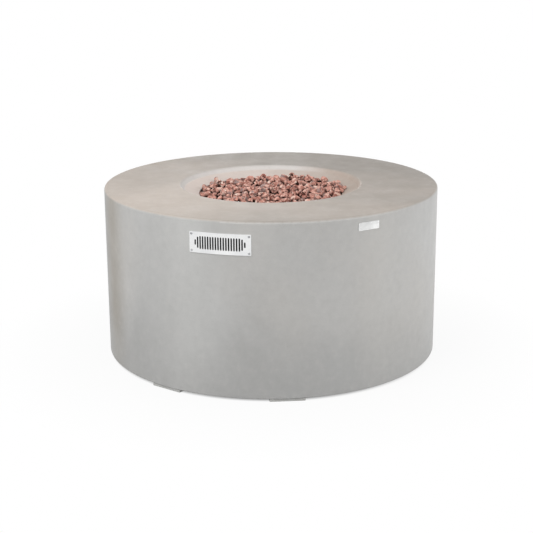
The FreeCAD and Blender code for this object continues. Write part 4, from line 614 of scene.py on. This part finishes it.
def breakStone(look, number, chance):
    deselectAll()
    bpy.ops.mesh.primitive_ico_sphere_add(subdivisions=look["sphereCuts"], radius=1)
    stone = bpy.context.object
    bpy.ops.object.mode_set(mode="EDIT")
    for hit in range(look["breaks"]):
        face = Vector([chance.gauss(0, 1) for axis in range(3)]).normalized()
        bpy.ops.mesh.select_all(action="SELECT")
        bpy.ops.mesh.bisect(plane_co=face * chance.uniform(*look["breakDepth"]), plane_no=face,
                            use_fill=True, clear_outer=True)
    bpy.ops.mesh.select_all(action="SELECT")
    width, thickness = chance.uniform(*look["flatness"]), chance.uniform(*look["flatness"])
    bpy.ops.transform.resize(value=(look["stretch"], width, thickness))
    bpy.ops.object.mode_set(mode="OBJECT")
    applyModifier(stone, "REMESH", mode="VOXEL", voxel_size=look["voxel"])
    triangles = 2 * len(stone.data.polygons)
    applyModifier(stone, "DECIMATE", ratio=look["faces"] / triangles)
    bpy.ops.object.mode_set(mode="EDIT")
    bpy.ops.mesh.select_all(action="SELECT")
    bpy.ops.transform.vertex_random(offset=look["roughness"], seed=number)
    bpy.ops.object.mode_set(mode="OBJECT")
    bpy.ops.object.shade_smooth_by_angle(angle=math.radians(look["smoothAngle"]))
    return stone


def makeMould(pile):
    deselectAll()
    mesh = bpy.data.meshes.new("bowlMould")
    mould = bpy.data.objects.new("bowlMould", mesh)
    bpy.context.collection.objects.link(mould)
    large = pile["upscale"]
    mesh.from_pydata([(reach * large, 0, level * large) for reach, level in pile["bowl"]],
                     [(step, step + 1) for step in range(len(pile["bowl"]) - 1)], [])
    bpy.context.view_layer.objects.active = mould
    bpy.ops.object.mode_set(mode="EDIT")
    bpy.ops.mesh.select_all(action="SELECT")
    bpy.ops.mesh.spin(steps=pile["mouldSteps"], angle=math.tau, center=(0, 0, 0), axis=(0, 0, 1))
    bpy.ops.mesh.remove_doubles(threshold=pile["mouldWeld"])
    bpy.ops.mesh.normals_make_consistent(inside=True)
    bpy.ops.object.mode_set(mode="OBJECT")
    mould.select_set(True)
    bpy.ops.rigidbody.object_add(type="PASSIVE")
    mould.rigid_body.collision_shape = "MESH"
    mould.rigid_body.friction = pile["friction"]
    mould.rigid_body.use_margin = True
    mould.rigid_body.collision_margin = pile["mouldMargin"]
    return mould


def hangStones(shapes, look, pile):  # in loose layers over the bowl
    chance = random.Random(pile["seed"])
    large, pitch, scatter = pile["upscale"], pile["pitch"], pile["scatter"]
    stones = []
    for layer, reach in enumerate(pile["reach"]):
        drop = pile["drop"] + pile["layerDrop"] * layer
        xShift, yShift = (shift * layer for shift in pile["layerShift"])
        rows = int(reach / pitch) + 1
        for row in range(-rows, rows + 1):
            for place in range(-rows, rows + 1):
                x = place + pile["rowShift"] * (row % 2) + xShift
                x = (x + chance.uniform(-scatter, scatter)) * pitch
                y = (row + yShift + chance.uniform(-scatter, scatter)) * pitch * pile["rowPitch"]
                if math.hypot(x, y) > reach:
                    continue
                turn = [chance.uniform(0, math.tau) for axis in range(3)]
                stone = copyPiece(chance.choice(shapes), "lavaStone")
                half = chance.uniform(*look["halfLength"]) * large
                stone.data.transform(Matrix.Scale(half, 4))
                stone.rotation_euler = turn
                stone.location = Vector((x + pile["middle"][0], y + pile["middle"][1],
                                         pile["bed"] + drop)) * large
                stones.append(stone)
    return stones


def freeStones(stones, pile):
    selectOnly(stones)
    bpy.ops.rigidbody.objects_add(type="ACTIVE")
    for stone in stones:
        stone.rigid_body.collision_shape = "CONVEX_HULL"
        stone.rigid_body.friction = pile["friction"]
        stone.rigid_body.restitution = pile["bounce"]
        stone.rigid_body.linear_damping = pile["slideDamping"]
        stone.rigid_body.angular_damping = pile["turnDamping"]
        stone.rigid_body.use_margin = True
        stone.rigid_body.collision_margin = pile["stoneMargin"]


def settleStones(stones, pile):
    scene = bpy.context.scene
    scene.rigidbody_world.point_cache.frame_end = pile["frames"]
    scene.rigidbody_world.substeps_per_frame = pile["substeps"]
    for step in range(1, pile["frames"] + 1):
        scene.frame_set(step)
    graph = bpy.context.evaluated_depsgraph_get()
    rest = [stone.evaluated_get(graph).matrix_world.copy() for stone in stones]
    deselectAll()
    bpy.ops.rigidbody.world_remove()
    scene.frame_set(1)
    kept = []
    for stone, place in zip(stones, rest):
        stone.matrix_basis = Matrix()
        stone.data.transform(Matrix.Scale(1 / pile["upscale"], 4) @ place)
        heights = [vertex.co.z for vertex in stone.data.vertices]
        if max(heights) > pile["top"] or min(heights) < pile["bed"] - pile["sunk"]:
            bpy.data.objects.remove(stone)
        else:
            kept.append(stone)
    return kept


def markGapShade(heap, step):  # painted shade in the gaps: each point is told how far it lies under the stones around
    tallest = {}
    for vertex in heap.data.vertices:
        cell = round(vertex.co.x / step), round(vertex.co.y / step)
        tallest[cell] = max(tallest.get(cell, 0), vertex.co.z)
    depths = heap.data.attributes.new("buried", "FLOAT", "POINT").data
    for vertex, depth in zip(heap.data.vertices, depths):
        column, row = round(vertex.co.x / step), round(vertex.co.y / step)
        near = [tallest.get((column + across, row + along), vertex.co.z)
                for across in (-1, 0, 1) for along in (-1, 0, 1)]
        depth.value = max(0, sum(near) / len(near) - vertex.co.z)


def makeLavaStones(look, pile):
    chance = random.Random(look["seed"])
    bpy.ops.rigidbody.world_add()
    shapes = [breakStone(look, number, chance) for number in range(look["shapes"])]
    mould = makeMould(pile)
    stones = hangStones(shapes, look, pile)
    freeStones(stones, pile)
    stones = settleStones(stones, pile)
    for helper in shapes + [mould]:
        bpy.data.objects.remove(helper)
    count = len(stones)
    heap = joinPieces(stones, "lavaStones")
    dress(heap, "lava_rock")
    markGapShade(heap, pile["gapWidth"])
    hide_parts("lava_rocks")
    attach(heap, "table")
    print("lava rock tipped in:", count, "stones,", len(heap.data.polygons), "faces")


makeLavaStones(lavaStone, lavaPile)


# screws: domed heads with a cross recess, on a threaded shank with a point. Shank and head
# are reach and length in millimetres

up, down = Vector((0, 0, 1)), Vector((0, 0, -1))

panelSeat = {
    "outward": Vector((-0.743145, 0.669131, 0)),
    "across": Vector((-0.669131, -0.743145, 0)),
    "reach": 0.49,  # metres from the table's axis
    "height": 0.33,
}

ventScrews = {"shank": (1.9, 15), "head": (3.4, 1.2),
              "reach": 0.5015, "turn": 9.2819, "height": 0.445, "rise": 0.023}
panelScrews = {"shank": (1.9, 9.5), "head": (3.6, 2),
               "across": (-0.066, 0.066), "rise": (-0.041, 0.041), "out": 0.002}
valveScrews = {"shank": (1.9, 12), "head": (3.4, 2),
               "across": (-0.038, -0.010), "rise": (-0.012,), "out": 0.0035}
panScrews = {"shank": (2, 14), "head": (3.5, 2.2),
             "reach": 0.208, "turns": (0, 90, 180, 270), "height": 0.4645}
footScrews = {"shank": (2.5, 25.5), "head": (4.6, 3),
              "reach": 0.4775, "turns": (-21, 21, 159, 201), "height": 0.004, "side": 0.03}

screwShape = {
    "pitch": 1.1,  # millimetres
    "point": 2.2,
    "core": 0.76,  # of the thread's reach
    "tip": (0.45, 0.4),  # of the core's reach and the point's length
    "crest": 0.45,  # of the pitch
    "dome": [(0.96, 0), (1, 0.16), (0.95, 0.5), (0.72, 0.86), (0.4, 1), (0, 1)],  # of the head
    "recess": 0.52,  # of the head's reach
    "slot": 0.17,
    "recessDepth": 0.62,  # of the head's height
    "recessRound": 0.4,  # of the slot
    "steps": 20,
    "weld": 0.000002,
    "smoothAngle": 32,
}


def millimetres(*sizes):
    return [size / 1000 for size in sizes]


def panelPlace(across, rise, out):
    spot = panelSeat["outward"] * (panelSeat["reach"] + out) + panelSeat["across"] * across
    return spot + Vector((0, 0, panelSeat["height"] + rise))


def ventSpots(plan, middle):
    turns = [middle + side * plan["turn"] for side in (-1, 1)]
    return [(roundPlace(plan["reach"], turn, plan["height"] + rise), roundPlace(1, turn, 0))
            for turn in turns for rise in (-plan["rise"], plan["rise"])]


def panelSpots(plan):
    return [(panelPlace(across, rise, plan["out"]), panelSeat["outward"])
            for across in plan["across"] for rise in plan["rise"]]


def panSpots(plan):
    return [(roundPlace(plan["reach"], turn, plan["height"]), up) for turn in plan["turns"]]


def footSpots(plan):
    spots = []
    for turn in plan["turns"]:
        middle = roundPlace(plan["reach"], turn, plan["height"])
        along = roundPlace(plan["side"], turn + 90, 0)
        spots += [(middle + along, down), (middle - along, down)]
    return spots


screwSets = {
    "front_vent_screws": (ventScrews, ventSpots(ventScrews, 0)),
    "rear_vent_screws": (ventScrews, ventSpots(ventScrews, 180)),
    "panel_screws": (panelScrews, panelSpots(panelScrews)),
    "valve_screws": (valveScrews, panelSpots(valveScrews)),
    "pan_screws": (panScrews, panSpots(panScrews)),
    "foot_screws": (footScrews, footSpots(footScrews)),
}


def turnProfile(name, points, shape):
    deselectAll()
    bpy.ops.mesh.primitive_plane_add(size=0.001, location=(0, 0, 0))
    piece = bpy.context.object
    piece.name = name
    bpy.ops.object.mode_set(mode="EDIT")
    bpy.ops.mesh.select_all(action="SELECT")
    bpy.ops.mesh.merge(type="CENTER")
    last = Vector((0, 0, 0))
    for number, (reach, level) in enumerate(points):
        step = Vector((reach, 0, level)) - last
        last += step
        if number:
            bpy.ops.mesh.extrude_region_move(TRANSFORM_OT_translate={"value": step})
        else:
            bpy.ops.transform.translate(value=step)
    bpy.ops.mesh.select_all(action="SELECT")
    bpy.ops.mesh.spin(steps=shape["steps"], angle=math.tau, center=(0, 0, 0), axis=(0, 0, 1))
    bpy.ops.mesh.select_all(action="SELECT")
    bpy.ops.mesh.remove_doubles(threshold=shape["weld"])
    bpy.ops.mesh.normals_make_consistent(inside=False)
    bpy.ops.object.mode_set(mode="OBJECT")
    return piece


def screwProfile(shank, head, shape):
    (reach, length), (headReach, headHeight) = shank, head
    pitch, point = millimetres(shape["pitch"], shape["point"])
    core, (tipReach, tipLength) = reach * shape["core"], shape["tip"]
    level = -length + point
    profile = [(0, -length), (core * tipReach, -length + point * tipLength), (core, level)]
    while level + pitch < -pitch:
        profile += [(reach, level + pitch * shape["crest"]), (core, level + pitch)]
        level += pitch
    dome = [(headReach * out, headHeight * rise) for out, rise in shape["dome"]]
    return profile + [(core, 0)] + dome


def makeScrew(name, plan, shape):
    shank, head = millimetres(*plan["shank"]), millimetres(*plan["head"])
    screw = turnProfile(name, screwProfile(shank, head, shape), shape)
    deselectAll()
    headReach, headHeight = head
    slot, depth = headReach * shape["slot"], headHeight * shape["recessDepth"]
    for turn in (0, 90):
        bpy.ops.mesh.primitive_cube_add(
            size=1, location=(0, 0, headHeight), rotation=(0, 0, math.radians(turn)),
            scale=(headReach * 2 * shape["recess"], slot * 2, depth * 2))
        cutter = bpy.context.object
        applyModifier(cutter, "BEVEL", width=slot * shape["recessRound"], segments=1)
        applyModifier(screw, "BOOLEAN", operation="DIFFERENCE", object=cutter, solver="EXACT")
        bpy.data.objects.remove(cutter)
        deselectAll()
    selectOnly([screw])
    bpy.ops.object.shade_smooth_by_angle(angle=math.radians(shape["smoothAngle"]))
    return screw


def fitScrews(node, plan, spots, shape):
    pattern = makeScrew(node, plan, shape)
    chance = random.Random(node)
    copies = []
    for spot, outward in spots:
        screw = copyPiece(pattern, "screw")
        turn = outward.to_track_quat("Z", "Y").to_matrix().to_4x4()
        turn = turn @ Matrix.Rotation(chance.uniform(0, math.tau), 4, "Z")
        screw.data.transform(Matrix.Translation(spot) @ turn)
        copies.append(screw)
    bpy.data.objects.remove(pattern)
    screws = joinPieces(copies, camelName(node))
    dress(screws, slotOf[node])
    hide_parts(node)
    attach(screws, "table")


for screwNode, (screwPlan, screwSpots) in screwSets.items():
    fitScrews(screwNode, screwPlan, screwSpots, screwShape)
print("screws fitted:", sum(len(spots) for plan, spots in screwSets.values()))


# the knob's white pointer, a strip pressed into its groove

pointer = {
    "width": 0.0021,  # metres
    "start": 0.0077,  # over the knob's middle
    "end": 0.0172,
    "back": 0.0272,  # out from the panel's seat
    "front": 0.0297,
    "across": -0.024,  # where the knob stands on the panel
    "bevel": 0.0003,
}


def makePointer(strip):
    deselectAll()
    length, height = strip["end"] - strip["start"], strip["front"] - strip["back"]
    bpy.ops.mesh.primitive_cube_add(size=1, location=(0, 0, 0),
                                    scale=(strip["width"], length, height))
    piece = bpy.context.object
    piece.name = "knobPointer"
    bpy.ops.object.transform_apply(location=False, rotation=False, scale=True)
    applyModifier(piece, "BEVEL", width=strip["bevel"], segments=2)
    turn = Matrix((panelSeat["across"], up, panelSeat["outward"])).transposed().to_4x4()
    spot = panelPlace(strip["across"], (strip["start"] + strip["end"]) / 2,
                      (strip["back"] + strip["front"]) / 2)
    piece.data.transform(Matrix.Translation(spot) @ turn)
    piece.data.materials.append(materials["pointerWhite"])
    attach(piece, "knob")


makePointer(pointer)
print("pointer pressed in")


# floor, backdrop and light

stageLook = {
    "size": 40,
    "drop": 0.0005,  # under the feet
    "grey": 0.62,
    "roughness": 0.9,
    "beside": (0.5, 0.9, 0.93, 1),  # the floor beside the table shows a faint shadow
    "under": (0.47, 0.5),  # and under it a full one
    "worldStrength": 0.36,
}

lampAim = Vector((0, 0, 0.4))
lamps = {
    "key": {"azimuth": -25, "elevation": 46, "reach": 3.4, "size": 1.8, "power": 82,
            "colour": (1, 0.998, 0.992)},
    "right": {"azimuth": 90, "elevation": 13, "reach": 3.6, "size": 2.2, "power": 58,
              "colour": (1, 0.998, 0.992)},
    "rear": {"azimuth": 200, "elevation": -3, "reach": 3.6, "size": 1.0, "power": 45,
             "colour": (1, 1, 1)},
}


def seenDirectly(tree):  # by the camera, or in polished metal or glass
    path = tree.nodes.new("ShaderNodeLightPath")
    seen = combine(tree, "MAXIMUM", path.outputs["Is Camera Ray"], path.outputs["Is Glossy Ray"])
    return combine(tree, "MAXIMUM", seen, path.outputs["Is Transmission Ray"])


def mixShaders(tree, factor, first, second, surface):
    mix = tree.nodes.new("ShaderNodeMixShader")
    tree.links.new(factor, mix.inputs["Fac"])
    tree.links.new(first, mix.inputs[1])
    tree.links.new(second, mix.inputs[2])
    tree.links.new(mix.outputs["Shader"], surface)


def makeFloor(look):
    bpy.ops.mesh.primitive_plane_add(size=look["size"], location=(0, 0, -look["drop"]))
    floor = bpy.context.object
    floor.name = "studioFloor"
    material, tree, shader = newMaterial("studioFloor")
    floor.data.materials.append(material)
    shader.inputs["Base Color"].default_value = (look["grey"], look["grey"], look["grey"], 1)
    shader.inputs["Roughness"].default_value = look["roughness"]
    shader.inputs["Specular IOR Level"].default_value = 0
    glow = tree.nodes.new("ShaderNodeEmission")
    reach = tablePlace(tree)[-1]
    plain = combine(tree, "MINIMUM", spread(tree, reach, *look["beside"]),
                    spread(tree, reach, *look["under"]))
    mixShaders(tree, combine(tree, "MULTIPLY", seenDirectly(tree), plain),
               shader.outputs["BSDF"], glow.outputs["Emission"],
               tree.nodes["Material Output"].inputs["Surface"])


def makeWorld(look):
    world = bpy.data.worlds.new("studioWorld")
    bpy.context.scene.world = world
    world.use_nodes = True
    tree = world.node_tree
    light, white = tree.nodes["Background"], tree.nodes.new("ShaderNodeBackground")
    for background in (light, white):
        background.inputs["Color"].default_value = (1, 1, 1, 1)
    light.inputs["Strength"].default_value = look["worldStrength"]
    mixShaders(tree, seenDirectly(tree), light.outputs["Background"],
               white.outputs["Background"], tree.nodes["World Output"].inputs["Surface"])


def makeLamp(name, lamp):
    elevation = math.radians(lamp["elevation"])
    away = roundPlace(math.cos(elevation), lamp["azimuth"], math.sin(elevation))
    bpy.ops.object.light_add(type="AREA", location=away * lamp["reach"] + lampAim)
    light = bpy.context.object
    light.name = name + "Lamp"
    light.data.size = lamp["size"]
    light.data.energy = lamp["power"]
    light.data.color = lamp["colour"]
    light.rotation_mode = "QUATERNION"
    light.rotation_quaternion = (-away).to_track_quat("-Z", "Y")


makeFloor(stageLook)
makeWorld(stageLook)
for lampName, lampLook in lamps.items():
    makeLamp(lampName, lampLook)
print("stage and lamps made")
